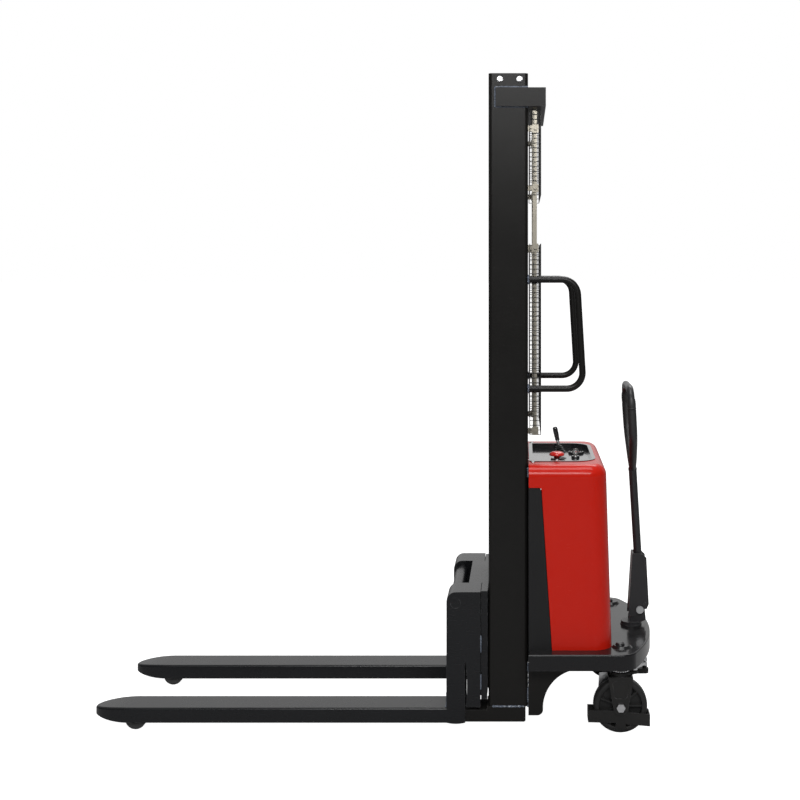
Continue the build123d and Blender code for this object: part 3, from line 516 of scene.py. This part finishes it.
def build_weld():
    """Weld bead along a seam: a rippled, slightly uneven half-round."""
    tree, given, end = new_tree("weld_bead", [
        ("Bead Radius", FLOAT, 0.003), ("Ripple Spacing", FLOAT, 0.004),
        ("Unevenness", FLOAT, 0.3), ("Seed", "NodeSocketInt", 3)])
    step_share, phase_step, ripple_depth = 0.34, 2.1, 0.16
    fine = place(tree, "GeometryNodeResampleCurve",
                 {"Curve": path_curve(tree, given),
                  "Length": calc(tree, "MULTIPLY", given["Ripple Spacing"], step_share)},
                 mode="LENGTH")
    index = tree.nodes.new("GeometryNodeInputIndex").outputs[0]
    ripple = calc(tree, "SINE", calc(tree, "MULTIPLY", index, phase_step))
    chance = place(tree, "FunctionNodeRandomValue",
                   {"Min": calc(tree, "MULTIPLY", given["Unevenness"], -1.0),
                    "Max": given["Unevenness"], "Seed": given["Seed"]}, data_type="FLOAT")
    uneven = calc(tree, "ADD", calc(tree, "MULTIPLY", ripple, ripple_depth), chance.outputs[1])
    end_tree(tree, given, end, sweep_round(tree, fine.outputs["Curve"], given["Bead Radius"], 8,
                                           calc(tree, "ADD", uneven, 1.0)))
    return tree


def repeat_curve(tree, points, curve):
    """The same curve on every point, as real curves."""
    marks = place(tree, "GeometryNodeInstanceOnPoints", {"Points": points, "Instance": curve})
    return place(tree, "GeometryNodeRealizeInstances",
                 {"Geometry": marks.outputs["Instances"]}).outputs["Geometry"]


def build_wire_guard():
    """Welded wire screen: its plan section is repeated upwards, and uprights stand along it."""
    tree, given, end = new_tree("wire_guard", [
        ("Height", FLOAT, 0.5), ("Pitch Up", FLOAT, 0.015), ("Pitch Across", FLOAT, 0.013),
        ("Wire Radius", FLOAT, 0.0011)])
    wire_sides = 6
    section = path_curve(tree, given)
    count = calc(tree, "ADD", calc(tree, "DIVIDE", given["Height"], given["Pitch Up"]), 1.5)
    lift = place(tree, "ShaderNodeCombineXYZ", {"Z": given["Pitch Up"]})
    marks = place(tree, "GeometryNodeMeshLine", {"Count": count, "Offset": lift.outputs[0]},
                  mode="OFFSET")
    levels = repeat_curve(tree, marks.outputs["Mesh"], section)
    stands = place(tree, "GeometryNodeResampleCurve",
                   {"Curve": section, "Length": given["Pitch Across"]}, mode="LENGTH")
    top = place(tree, "ShaderNodeCombineXYZ", {"Z": given["Height"]})
    upright = place(tree, "GeometryNodeCurvePrimitiveLine",
                    {"Start": (0.0, 0.0, 0.0), "End": top.outputs[0]})
    posts = repeat_curve(tree, stands.outputs["Curve"], upright.outputs["Curve"])
    both = tree.nodes.new("GeometryNodeJoinGeometry")
    for wires in (levels, posts):
        tree.links.new(sweep_round(tree, wires, given["Wire Radius"], wire_sides),
                       both.inputs["Geometry"])
    end_tree(tree, given, end, both.outputs["Geometry"])
    return tree


def build_bellows():
    """Folded rubber boot: a tube along its axis whose radius zigzags fold by fold."""
    tree, given, end = new_tree("bellows", [
        ("Folds", FLOAT, 4.0), ("Base Radius", FLOAT, 0.02), ("Top Radius", FLOAT, 0.012),
        ("Fold Depth", FLOAT, 0.004)])
    rings, sides = 49, 40
    fine = place(tree, "GeometryNodeResampleCurve",
                 {"Curve": path_curve(tree, given), "Count": rings}, mode="COUNT")
    along = tree.nodes.new("GeometryNodeSplineParameter").outputs["Factor"]
    taper = mix_value(tree, along, given["Base Radius"], given["Top Radius"])
    fold = calc(tree, "PINGPONG", calc(tree, "MULTIPLY", along, given["Folds"]), 0.5)
    inward = calc(tree, "MULTIPLY", calc(tree, "MULTIPLY", fold, given["Fold Depth"]), -2.0)
    end_tree(tree, given, end, sweep_round(tree, fine.outputs["Curve"], 1.0, sides,
                                           calc(tree, "ADD", taper, inward)))
    return tree


COPIES, WELD = build_copies(), build_weld()
WIRE_GUARD, BELLOWS = build_wire_guard(), build_bellows()


def marks_mesh(marks):
    """Points that carry a turn each: marks are (place, turn matrix)."""
    mesh = bpy.data.meshes.new("marks")
    mesh.from_pydata([tuple(spot) for spot, turn in marks], [], [])
    turns = mesh.attributes.new("turn", "FLOAT_VECTOR", "POINT")
    for index, (spot, turn) in enumerate(marks):
        turns.data[index].vector = turn.to_euler()
    return mesh


def copies(name, lot, marks, finish, body, size=1.0):
    """Set copies of a shape on marks and let them ride."""
    shape = stand(name + "_shape", shell(name + "_shape", *lot))
    piece = grow(name, marks_mesh(marks), COPIES,
                 {"Shape": shape, "Size": size, "Finish": finish})
    bpy.data.objects.remove(shape)
    if body:
        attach(piece, body)
    return piece


def path_mesh(runs):
    """Edges only: each run is a chain of points."""
    mesh = bpy.data.meshes.new("path")
    points, edges = [], []
    for run in runs:
        edges += [(len(points) + index, len(points) + index + 1)
                  for index in range(len(run) - 1)]
        points += [tuple(spot) for spot in run]
    mesh.from_pydata(points, edges, [])
    return mesh


def welds(name, runs, body, radius=0.003, spacing=0.005, seed=3):
    """Weld beads along seams of one body."""
    piece = grow(name, path_mesh(runs), WELD,
                 {"Bead Radius": radius, "Ripple Spacing": spacing, "Unevenness": 0.28,
                  "Seed": seed, "Finish": weld_enamel_painted_sheen})
    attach(piece, body)
    return piece


def facing(direction, twist=0.0):
    """Turn that sends Z to the direction."""
    return (Vector(direction).to_track_quat("Z", "Y").to_matrix()
            @ Matrix.Rotation(twist, 3, "Z"))


# ---- welds -----------------------------------------------------------------------------
SIDES = (("near", -1), ("far", 1))
mast_low, mast_high = corners("mast_channel_near")
mast_face_y = abs(mast_low.y)


def mast_seams(sign):
    """Seams of one mast channel: beam plate, foot, rear corner, handle ends and gusset."""
    beam_low, beam_high = corners("mast_top_beam")
    handle_low, handle_high = corners("push_handle_near")
    face, corner_y, flange_y = sign * mast_face_y, sign * 262 * MM, sign * 207 * MM
    plate_x = mast_low.x + 21 * MM
    plate_top, plate_foot = beam_high.z + 2 * MM, beam_low.z - 1 * MM
    foot_inset = 12 * MM
    runs = [[(mast_high.x, face, plate_top), (plate_x, face, plate_top),
             (plate_x, face, plate_foot), (mast_high.x, face, plate_foot)],
            [(mast_low.x + foot_inset, face, mast_low.z),
             (mast_high.x - foot_inset, face, mast_low.z)],
            [(mast_high.x, flange_y, mast_low.z), (mast_high.x, corner_y, mast_low.z)]]
    for low, high in ((0.09, 0.135), (0.19, 0.213), (0.8, 0.83), (1.98, 1.966)):
        runs.append([(mast_high.x, corner_y, low), (mast_high.x, corner_y, high)])
    tube_r, ring_r, tube_y = 10.5 * MM, 11.5 * MM, sign * 254 * MM
    for level in (handle_high.z - tube_r, handle_low.z + tube_r):
        runs.append([(mast_high.x + 1 * MM, tube_y + ring_r * cos(radians(step)),
                      level + ring_r * sin(radians(step))) for step in range(0, 361, 20)])
    gusset_x, gusset_y = mast_high.x + 3 * MM, sign * 266.5 * MM
    runs.append([(gusset_x, gusset_y, 0.085), (gusset_x, gusset_y, 0.205)])
    return runs


def fork_seams(sign):
    """Seams of one fork: its plate against the shank, and the shank's open rear edge."""
    fork_low, fork_high = corners("fork_near")
    middle = sign * (fork_low.y + fork_high.y) / -2
    shank_x, plate_x, rear_x, rear_y = 0.2285, 0.2265, 0.3362, sign * 0.2732
    cheek, plate_half, plate_z = 49.5 * MM, 50 * MM, 76.2 * MM
    runs = [[(shank_x, middle + edge * cheek, 0.0765), (shank_x, middle + edge * cheek, 0.12)]
            for edge in (-1, 1)]
    runs.append([(plate_x, middle - plate_half, plate_z), (plate_x, middle + plate_half, plate_z)])
    for low, high in ((0.134, 0.18), (0.25, 0.302)):
        runs.append([(rear_x, rear_y, low), (rear_x, rear_y, high)])
    return runs


frame_welds = welds("frame_welds", mast_seams(-1) + mast_seams(1), "root", 3 * MM, 5.5 * MM)
fork_welds = welds("fork_welds", fork_seams(-1) + fork_seams(1), "carriage", 2.4 * MM, 5 * MM,
                   seed=8)


# ---- bolts and screws --------------------------------------------------------------------
def in_mm(profile):
    """A profile written in millimetres, in metres."""
    return [(radius * MM, height * MM) for radius, height in profile]


def add_mast_bolts():
    """Hexagon bolts with washers through the mast's top."""
    washer = [(0, 0), (11, 0), (11.2, 0.5), (10.9, 1.6), (8.9, 1.7), (0, 1.7)]
    head = [(0, 1.7), (10.4, 1.7), (10.4, 7.2), (9.1, 8.4), (3.2, 8.5), (2.8, 8.1), (0, 8.1)]
    bolt = joined(lathe(in_mm(washer), steps=28), lathe(in_mm(head), steps=6))
    bolt_z = 2.055
    marks = [((along, sign * mast_face_y, bolt_z), facing((0, sign, 0), twist))
             for side, sign in SIDES for along, twist in ((0.396, 0.3), (0.458, 0.75))]
    mast_bolts = copies("mast_bolts", bolt, marks, zinc, "root", size=0.86)
    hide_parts("fasteners")


def add_cover_screws():
    """Domed screws at the front of the cover's top."""
    dome = [(0, 0), (6.4, 0), (6.3, 1.0), (5.4, 2.6), (3.4, 3.4), (1.6, 3.45), (1.4, 2.7),
            (0, 2.7)]
    cover_top = corners("power_cover")[1].z
    screw_x, screw_y = 0.5, 0.226
    marks = [((screw_x, across, cover_top), facing((0, 0, 1), across))
             for across in (-screw_y, screw_y)]
    cover_screws = copies("cover_screws", lathe(in_mm(dome), steps=24), marks, zinc, "root")


add_mast_bolts()
add_cover_screws()


# ---- wire guards -------------------------------------------------------------------------
def add_guard_screen(level):
    """One wire screen: a flat back with a wing round each post."""
    low, high = corners(f"guard_mesh_{level}")
    wire, bend, edge, past_post = 1.15 * MM, 4 * MM, 1.5 * MM, 5.8 * MM
    rear, front, half, base = high.x - edge, low.x + edge, high.y + past_post, low.z + wire
    section = [(front, -half, base), (rear - bend, -half, base), (rear, -half + bend, base),
               (rear, half - bend, base), (rear - bend, half, base), (front, half, base)]
    screen = grow(f"guard_screen_{level}", path_mesh([section]), WIRE_GUARD,
                  {"Height": high.z - low.z - 2 * wire, "Pitch Up": 15.0 * MM,
                   "Pitch Across": 12.6 * MM, "Wire Radius": wire, "Finish": guard_coat})
    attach(screen, "root")
    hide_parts(f"guard_mesh_{level}")


add_guard_screen("upper")
add_guard_screen("lower")

# ---- lift chain ----------------------------------------------------------------------------
PITCH = 12.7 * MM
PIN_R = 2.1 * MM


def link_outline(radius, half_span, middle=0.0):
    """Outline of a chain plate: two round ends."""
    turns = [(end, radians(first + 36 * step)) for end, first in ((1, 0), (-1, 180))
             for step in range(6)]
    return [(radius * cos(turn), middle + end * half_span + radius * sin(turn))
            for end, turn in turns]


def chain_pin(half_width, height):
    """A pin across the chain."""
    return tube([(0, -half_width, height), (0, half_width, height)], [PIN_R] * 2, steps=10)


def chain_unit():
    """Two pitches of leaf chain: three plates, then two between them, and their pins."""
    plate_half, plate_r, pin_half = 1.2, 4.5 * MM, 8 * MM
    lots = []
    for middle, acrosses in ((0.0, (-6.7, 0.0, 6.7)), (PITCH, (-3.4, 3.4))):
        outline = link_outline(plate_r, PITCH / 2, middle)
        for across in acrosses:
            lots.append(slab(outline, (across - plate_half) * MM, (across + plate_half) * MM,
                             plane="XZ"))
        lots.append(chain_pin(pin_half, middle + PITCH / 2))
    return joined(*lots)


def strand(name, node, body):
    """A straight run of chain in place of its CAD band."""
    low, high = corners(node)
    length = high.z - low.z - PITCH
    count = max(1, round(length / (2 * PITCH)))
    marks = [(((low.x + high.x) / 2, 0, low.z + PITCH + length / count * index),
              Matrix.Identity(3)) for index in range(count)]
    piece = copies(name, chain_unit(), marks, chain_steel, body)
    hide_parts(node)
    return piece


def add_front_strand():
    """The strand from the sheave to the carriage, riding on the carriage."""
    piece = strand("chain_links_front", "chain_front", "carriage")
    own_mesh(piece)


def add_rear_strand():
    """The strand from the fixed anchor to the sheave."""
    piece = strand("chain_links_rear", "chain_rear", None)
    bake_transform(piece)


def add_wrapped_chain():
    """Links that lie over the sheave."""
    low, high = corners("chain_wrap")
    wrap_r, plate_r, block_r = 38 * MM, 4.4 * MM, 4.2 * MM
    plate = link_outline(plate_r, PITCH * 0.46)
    link = joined(slab(plate, -7.6 * MM, -5.4 * MM, plane="XZ"),
                  slab(plate, 5.4 * MM, 7.6 * MM, plane="XZ"),
                  chain_pin(7.8 * MM, PITCH / 2),
                  slab(link_outline(block_r, PITCH * 0.3), -4.6 * MM, 4.6 * MM, plane="XZ"))
    marks = []
    for step in range(9):
        angle = radians(10 + 20 * step)
        spot = ((low.x + high.x) / 2 + wrap_r * cos(angle), 0, low.z + wrap_r * sin(angle))
        marks.append((spot, Matrix.Rotation(-angle, 3, "Y")))
    piece = copies("chain_links_over_sheave", link, marks, chain_steel, "piston")
    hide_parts("chain_wrap")


add_front_strand()
add_rear_strand()
add_wrapped_chain()

# ---- control tray --------------------------------------------------------------------------
stop_low, stop_high = corners("stop_button")
stop_x, stop_y = (stop_low.x + stop_high.x) / 2, (stop_low.y + stop_high.y) / 2
key_low, key_high = corners("ignition_key")
key_x, key_y = (key_low.x + key_high.x) / 2, (key_low.y + key_high.y) / 2
tray_floor = stop_low.z - 8 * MM
gauge_x, gauge_y = 0.65, 0.075


def add_joystick():
    """Bellows on the tray, a bright collar over it, and the knob."""
    lean = radians(12)
    axis = Vector((-sin(lean), 0, cos(lean)))
    foot = Vector((0.596, 0.025, tray_floor + 4 * MM))
    boot_path = [foot + axis * 2 * MM, foot + axis * 32 * MM]
    boot = grow("joystick_bellows", path_mesh([boot_path]), BELLOWS,
                {"Folds": 4.5, "Base Radius": 21.5 * MM, "Top Radius": 11.0 * MM,
                 "Fold Depth": 9.0 * MM, "Finish": boot_rubber})
    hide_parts("joystick_boot")
    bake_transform(boot)

    grip = [(0, 4), (3.7, 5), (3.7, 47), (6.2, 48), (7.4, 49.5), (7.7, 53), (7.3, 56), (7.9, 62),
            (8.4, 74), (8.4, 86), (7.8, 91.5), (6.2, 94.2), (3.4, 94.9), (0, 95)]
    knob = solid("joystick_knob", lathe(in_mm(grip), foot, axis, 32), panel_skin)
    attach(knob, "joystick")
    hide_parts("joystick_lever")

    band = [(3.9, 32.5), (5.6, 33), (6.0, 36), (5.2, 41), (5.4, 45.5), (4.9, 47.5), (3.9, 47.8)]
    collar = solid("joystick_collar", ring_lathe(in_mm(band), foot, axis, 28), zinc)
    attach(collar, "joystick")


def add_stop_button():
    """Red mushroom head on its stem."""
    mushroom = [(0, 0), (9.6, 0), (9.6, 9.5), (11.5, 10.6), (23.2, 11.0), (24.7, 12.2),
                (24.9, 14.4), (23.8, 17.8), (21.0, 20.6), (17.0, 22.6), (12.0, 24.0), (6.0, 24.8),
                (0, 25)]
    head = solid("stop_mushroom", lathe(in_mm(mushroom), (stop_x, stop_y, stop_low.z), steps=40),
                 stop_skin)
    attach(head, "stop")
    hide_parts("stop_button")


def add_switch_rings():
    """Raised rings round the stop button, the key switch and the gauge."""
    stop_ring = [(10.4, 0), (20.8, 0), (21, 2), (19.2, 9.6), (17.6, 11.6), (10.4, 11.8)]
    key_ring = [(7.3, 0), (13.8, 0), (13.9, 3.4), (12.2, 7.4), (9.6, 7.9), (7.3, 7.6)]
    gauge_ring = [(22.4, 0), (26.8, 0), (27, 3.8), (25.2, 6.8), (23.4, 6.9), (22.4, 5.6)]
    lots = [ring_lathe(in_mm(profile), (*spot, tray_floor), (0, 0, 1), steps)
            for profile, spot, steps in ((stop_ring, (stop_x, stop_y), 40),
                                         (key_ring, (key_x, key_y), 36),
                                         (gauge_ring, (gauge_x, gauge_y), 44))]
    rings = solid("switch_rings", joined(*lots), panel_skin)
    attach(rings, "root")
    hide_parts("panel_fittings")


def add_gauge():
    """Charge gauge: dark dial, pale ticks and a red needle."""
    centre = (gauge_x, gauge_y, tray_floor)
    dial_r, dial_z, tick_r = 22.3, 4.6, 18.4 * MM
    disc = in_mm([(0, 0), (dial_r, 0), (dial_r, dial_z), (0, dial_z)])
    dial = solid("gauge_dial", lathe(disc, centre, steps=44), panel_skin)
    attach(dial, "root")

    tick = slab(in_mm([(-0.45, -2.2), (0.45, -2.2), (0.45, 2.2), (-0.45, 2.2)]), 0, 0.35 * MM)
    marks = []
    for step in range(11):
        angle = radians(-60 + 30 * step)
        marks.append(((gauge_x + tick_r * cos(angle), gauge_y + tick_r * sin(angle),
                       tray_floor + dial_z * MM), Matrix.Rotation(angle + pi / 2, 3, "Z")))
    ticks = copies("gauge_ticks", tick, marks, dial_white, "root")

    turn = (Matrix.Translation((gauge_x, gauge_y, tray_floor + 5.0 * MM))
            @ Matrix.Rotation(radians(35), 4, "Z"))
    pointer = slab(in_mm([(-4, -0.7), (16, -0.3), (16, 0.3), (-4, 0.7)]), 0, 0.5 * MM, turn=turn)
    cap = lathe(in_mm([(0, 5.2), (2.4, 5.2), (2.2, 6.4), (0, 6.6)]), centre, steps=20)
    needle = solid("gauge_needle", joined(pointer, cap), stop_skin)
    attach(needle, "root")


def add_key():
    """Key with a ring bow, its blade and the turning barrel."""
    bow_drop, blade_foot, blade_drop = 11 * MM, 5.6 * MM, 20.5 * MM
    bow = [(6.2, -1.4), (10.6, -1.4), (10.9, 0), (10.6, 1.4), (6.2, 1.4), (5.9, 0)]
    barrel = [(0, 0), (6.8, 0), (6.8, 5.4), (6.1, 6.0), (0, 6.0)]
    blade = slab(rounded(9.6 * MM, 2.4 * MM, 1.1 * MM, (key_x, key_y), 3),
                 key_low.z + blade_foot, key_high.z - blade_drop)
    key = solid("ignition_key_cut", joined(
        ring_lathe(in_mm(bow), (key_x, key_y, key_high.z - bow_drop), (0, 1, 0), 28), blade,
        lathe(in_mm(barrel), (key_x, key_y, key_low.z), steps=28)), chain_steel)
    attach(key, "key")
    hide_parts("ignition_key")


add_joystick()
add_stop_button()
add_switch_rings()
add_gauge()
add_key()


# ---- casters --------------------------------------------------------------------------------
def wheel_profiles(rim, half):
    """Closed profiles of tyre, web and boss, in millimetres; the tyre is rounded to its tread."""
    side = [(rim - 17, 1), (rim - 15, 0), (rim - 8, 0), (rim - 4, 1.5), (rim - 1.4, 5),
            (rim - 0.3, 11)]
    tyre = ([(radius, inset - half) for radius, inset in side] + [(rim, 0)]
            + [(radius, half - inset) for radius, inset in reversed(side)]
            + [(rim - 18.5, half - 6), (rim - 19, 5), (rim - 19, -5), (rim - 18.5, 6 - half)])
    web = [(20, -3.4), (rim - 18.6, -3.0), (rim - 18.6, 3.0), (20, 3.4)]
    boss = [(8.3, 0.4 - half), (18.5, 0.4 - half), (20.5, 2.5 - half), (22, -4), (22, 4),
            (20.5, half - 2.5), (18.5, half - 0.4), (8.3, half - 0.4)]
    return tyre, web, boss


def add_caster_wheel(side):
    """Nylon tyre with its web and boss, nine spokes and a toothed tread."""
    low, high = corners(f"caster_wheel_{side}")
    hub, half, rim = (low + high) / 2, (high.y - low.y) / 2, (high.z - low.z) / 2
    lots = [ring_lathe(in_mm(profile), hub, (0, 1, 0), 72)
            for profile in wheel_profiles(rim / MM, half / MM)]
    wheel = solid(f"caster_tyre_{side}", joined(*lots), wheel_nylon)
    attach(wheel, f"wheel_{side}")
    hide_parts(f"caster_wheel_{side}")

    spoke_count, spoke_inset = 9, 4.5 * MM
    spoke = slab(rounded(48.8 * MM, 5.2 * MM, 1.8 * MM, (43.7 * MM, 0), 3), spoke_inset - half,
                 half - spoke_inset, rim=1.0 * MM, plane="XZ")
    marks = [(hub, Matrix.Rotation(radians(-step * 360 / spoke_count), 3, "Y"))
             for step in range(spoke_count)]
    spokes = copies(f"caster_spokes_{side}", spoke, marks, wheel_nylon, f"wheel_{side}")

    lug_count, lug_inset = 72, 9 * MM
    lug = slab(rounded(3.4 * MM, 2.6 * MM, 0.9 * MM, (rim - 1.75 * MM, 0), 2), lug_inset - half,
               half - lug_inset, plane="XZ")
    marks = [(hub, Matrix.Rotation(radians(step * 360 / lug_count), 3, "Y"))
             for step in range(lug_count)]
    lugs = copies(f"caster_tread_{side}", lug, marks, wheel_nylon, f"wheel_{side}")
    return hub


def add_brake_plate(side, sign, hub):
    """Zinc brake plate beside the wheel, on the inner fork leg."""
    plate_y, plate_half = hub.y - sign * 27.5 * MM, 1.5 * MM
    outline = [(-68, 112), (-64, 176), (-30, 178.5), (34, 178.5), (40, 160), (20, 148),
               (-20, 146), (-50, 128)]
    outline = [(hub.x + along, height) for along, height in in_mm(outline)]
    plate = solid(f"brake_plate_{side}", slab(
        outline, plate_y - plate_half, plate_y + plate_half, rim=0.5 * MM, plane="XZ"), zinc)
    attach(plate, f"caster_{side}")


for side, sign in SIDES:
    add_brake_plate(side, sign, add_caster_wheel(side))


def add_kingpins():
    """Black race rings, bright balls between them, and a turned nut on the deck."""
    upper_race = [(0, 200.4), (27.5, 200.4), (30.5, 199.5), (32.4, 200.8), (33, 203.5),
                  (33, 210.8), (32, 211.9), (0, 211.9)]
    lower_race = [(0, 190.9), (28, 190.9), (28, 200.4), (0, 200.4)]
    nut = [(0, 174.5), (8, 174.5), (8, 271.5), (14.6, 271.8), (15, 272.8), (14.2, 275.2),
           (11.6, 277.8), (7.0, 278.9), (0, 279)]
    ball = [(0, -3.7), (1.9, -3.2), (3.2, -1.85), (3.7, 0), (3.2, 1.85), (1.9, 3.2), (0, 3.7)]
    pin_x, pin_y, race_z, ball_ring, ball_count = 0.775, 0.265, 0.1955, 29.2 * MM, 24
    races, nuts, ball_marks = [], [], []
    for side, sign in SIDES:
        centre = Vector((pin_x, sign * pin_y, 0))
        races.append(lathe(in_mm(upper_race), centre, steps=56))
        races.append(lathe(in_mm(lower_race), centre, steps=40))
        nuts.append(lathe(in_mm(nut), centre, steps=40))
        for step in range(ball_count):
            angle = 2 * pi * step / ball_count
            spot = Vector((ball_ring * cos(angle), ball_ring * sin(angle), race_z))
            ball_marks.append((centre + spot, Matrix.Identity(3)))
    race_rings = solid("race_rings", joined(*races), caster_enamel)
    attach(race_rings, "root")
    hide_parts("caster_kingpins")
    kingpin_nuts = solid("kingpin_nuts", joined(*nuts), deck_enamel)
    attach(kingpin_nuts, "root")
    race_balls = copies("race_balls", lathe(in_mm(ball), steps=12), ball_marks, chrome_rod, "root")


add_kingpins()

# ---- tiller grips ----------------------------------------------------------------------------
TILLER_LEAN = radians(3.4)
LOOP_FOOT = Vector((0.8375, 0, 0.784))
LOOP_UP = Vector((-sin(TILLER_LEAN), 0, cos(TILLER_LEAN)))


def loop_sleeve(hand, route, radii):
    """A sleeve on the steering loop: route is (across, up) in the loop's own plane, in mm."""
    path = [LOOP_FOOT + LOOP_UP * up + Vector((0, hand * across, 0))
            for across, up in in_mm(route)]
    return tube(path, [radius * MM for radius in radii], 24)


def add_tiller_sleeves():
    """Rubber sleeves up both arms of the loop, each with a rib and an end cap."""
    knee_across, knee_up = 116, 118
    arm = [(knee_across * share, knee_up * share) for share in (0.16, 0.3, 0.45, 0.6, 0.72)]
    arm += [(95.5, 98.5), (104.5, 112.5), (110.5, 127.5), (114.5, 144.5), (116.0, 165),
            (117.5, 190), (118.5, 213)]
    rib = [(118.6, 214.5), (118.65, 216), (118.7, 218.5), (118.73, 220)]
    cap = [(118.8, 220.5), (118.9, 222), (119.1, 229.5), (118.4, 238), (116.6, 246.5)]
    arm_radii = (12.4, 13.0, 13.2, 13.3, 13.4, 13.5, 13.6, 13.8, 13.9, 14.0, 14.1, 14.1)
    lots = []
    for hand in (-1, 1):
        lots.append(loop_sleeve(hand, arm, arm_radii))
        lots.append(loop_sleeve(hand, rib, (13.2, 14.8, 14.8, 13.2)))
        lots.append(loop_sleeve(hand, cap, (13.6, 14.2, 14.3, 14.0, 13.2)))
    sleeves = solid("tiller_sleeves", joined(*lots), boot_rubber)
    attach(sleeves, "tiller")
    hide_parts("tiller_grips")


add_tiller_sleeves()


# ---- studio ------------------------------------------------------------------------------
WHITE = (1, 1, 1, 1)


def for_camera(tree, elsewhere, seen):
    """One shader for what the camera sees and another for every other ray."""
    ray = place(tree, "ShaderNodeLightPath").outputs["Is Camera Ray"]
    return place(tree, "ShaderNodeMixShader", {0: ray, 1: elsewhere, 2: seen}).outputs[0]


def add_floor():
    """Grey floor that the camera sees as white."""
    reach, grey = 150.0, 0.4
    mesh = bpy.data.meshes.new("studio_floor")
    mesh.from_pydata([(-reach, -reach, 0), (reach, -reach, 0), (reach, reach, 0),
                      (-reach, reach, 0)], [], [(0, 1, 2, 3)])
    floor = bpy.data.objects.new("studio_floor", mesh)
    SCENE.collection.objects.link(floor)
    material = bpy.data.materials.new("floor_white")
    material.use_nodes = True
    tree = material.node_tree
    shader = tree.nodes["Principled BSDF"]
    shader.inputs["Base Color"].default_value = (grey, grey, grey, 1)
    shader.inputs["Roughness"].default_value = 0.9
    shader.inputs["Specular IOR Level"].default_value = 0.0
    glow = place(tree, "ShaderNodeEmission", {"Color": WHITE, "Strength": 1.0})
    both = place(tree, "ShaderNodeAddShader", {0: shader.outputs[0], 1: glow.outputs[0]})
    tree.links.new(for_camera(tree, shader.outputs[0], both.outputs[0]),
                   tree.nodes["Material Output"].inputs["Surface"])
    mesh.materials.append(material)


def add_softbox(name, place_at, aim, size, power):
    """A rectangular softbox that faces its aim."""
    lamp = bpy.data.lights.new(name, "AREA")
    lamp.shape = "RECTANGLE"
    lamp.size, lamp.size_y = size
    lamp.energy = power
    holder = bpy.data.objects.new(name, lamp)
    holder.location = place_at
    direction = Vector(aim) - Vector(place_at)
    holder.rotation_euler = direction.to_track_quat("-Z", "Y").to_euler()
    SCENE.collection.objects.link(holder)


def add_studio():
    """White room for the camera; for the light, a dim one with a bright ceiling and backdrop."""
    world = bpy.data.worlds.new("studio")
    world.use_nodes = True
    tree = world.node_tree
    room = tree.nodes["Background"]
    room.inputs["Color"].default_value = WHITE
    where = place(tree, "ShaderNodeTexCoord").outputs["Generated"]
    split = place(tree, "ShaderNodeSeparateXYZ", {0: where})
    ceiling = mix_value(tree, split.outputs["Z"], 0.07, 0.4, 0.05, 0.9)
    backdrop = mix_value(tree, split.outputs["Y"], 0.0, 0.6, 0.35, 0.9)
    tree.links.new(calc(tree, "ADD", ceiling, backdrop), room.inputs["Strength"])
    white = place(tree, "ShaderNodeBackground", {"Color": WHITE, "Strength": 1.0})
    tree.links.new(for_camera(tree, room.outputs[0], white.outputs[0]),
                   tree.nodes["World Output"].inputs["Surface"])
    SCENE.world = world
    add_softbox("front_softbox", (0.9, -6.4, 4.3), (0.3, 0, 0.9), (4.5, 1.8), 330)
    add_softbox("ceiling_softbox", (0.6, -0.8, 4.6), (0.4, 0, 0.5), (2.6, 1.8), 90)
    add_softbox("rear_softbox", (1.6, 4.0, 5.2), (0.3, 0, 0.4), (3.2, 1.6), 90)


def add_camera():
    """Level camera beside the truck, aimed straight across it."""
    camera = bpy.data.cameras.new("studio_camera")
    camera.sensor_width = 36.0
    camera.lens = 56.66
    camera.shift_x, camera.shift_y = -0.15375, -0.16125
    holder = bpy.data.objects.new("studio_camera", camera)
    holder.location = (0.469, -4.235, 1.450)
    holder.rotation_euler = (radians(90), 0, 0)
    SCENE.collection.objects.link(holder)
    SCENE.camera = holder


add_floor()
add_studio()
add_camera()
SCENE.view_settings.view_transform = "Standard"
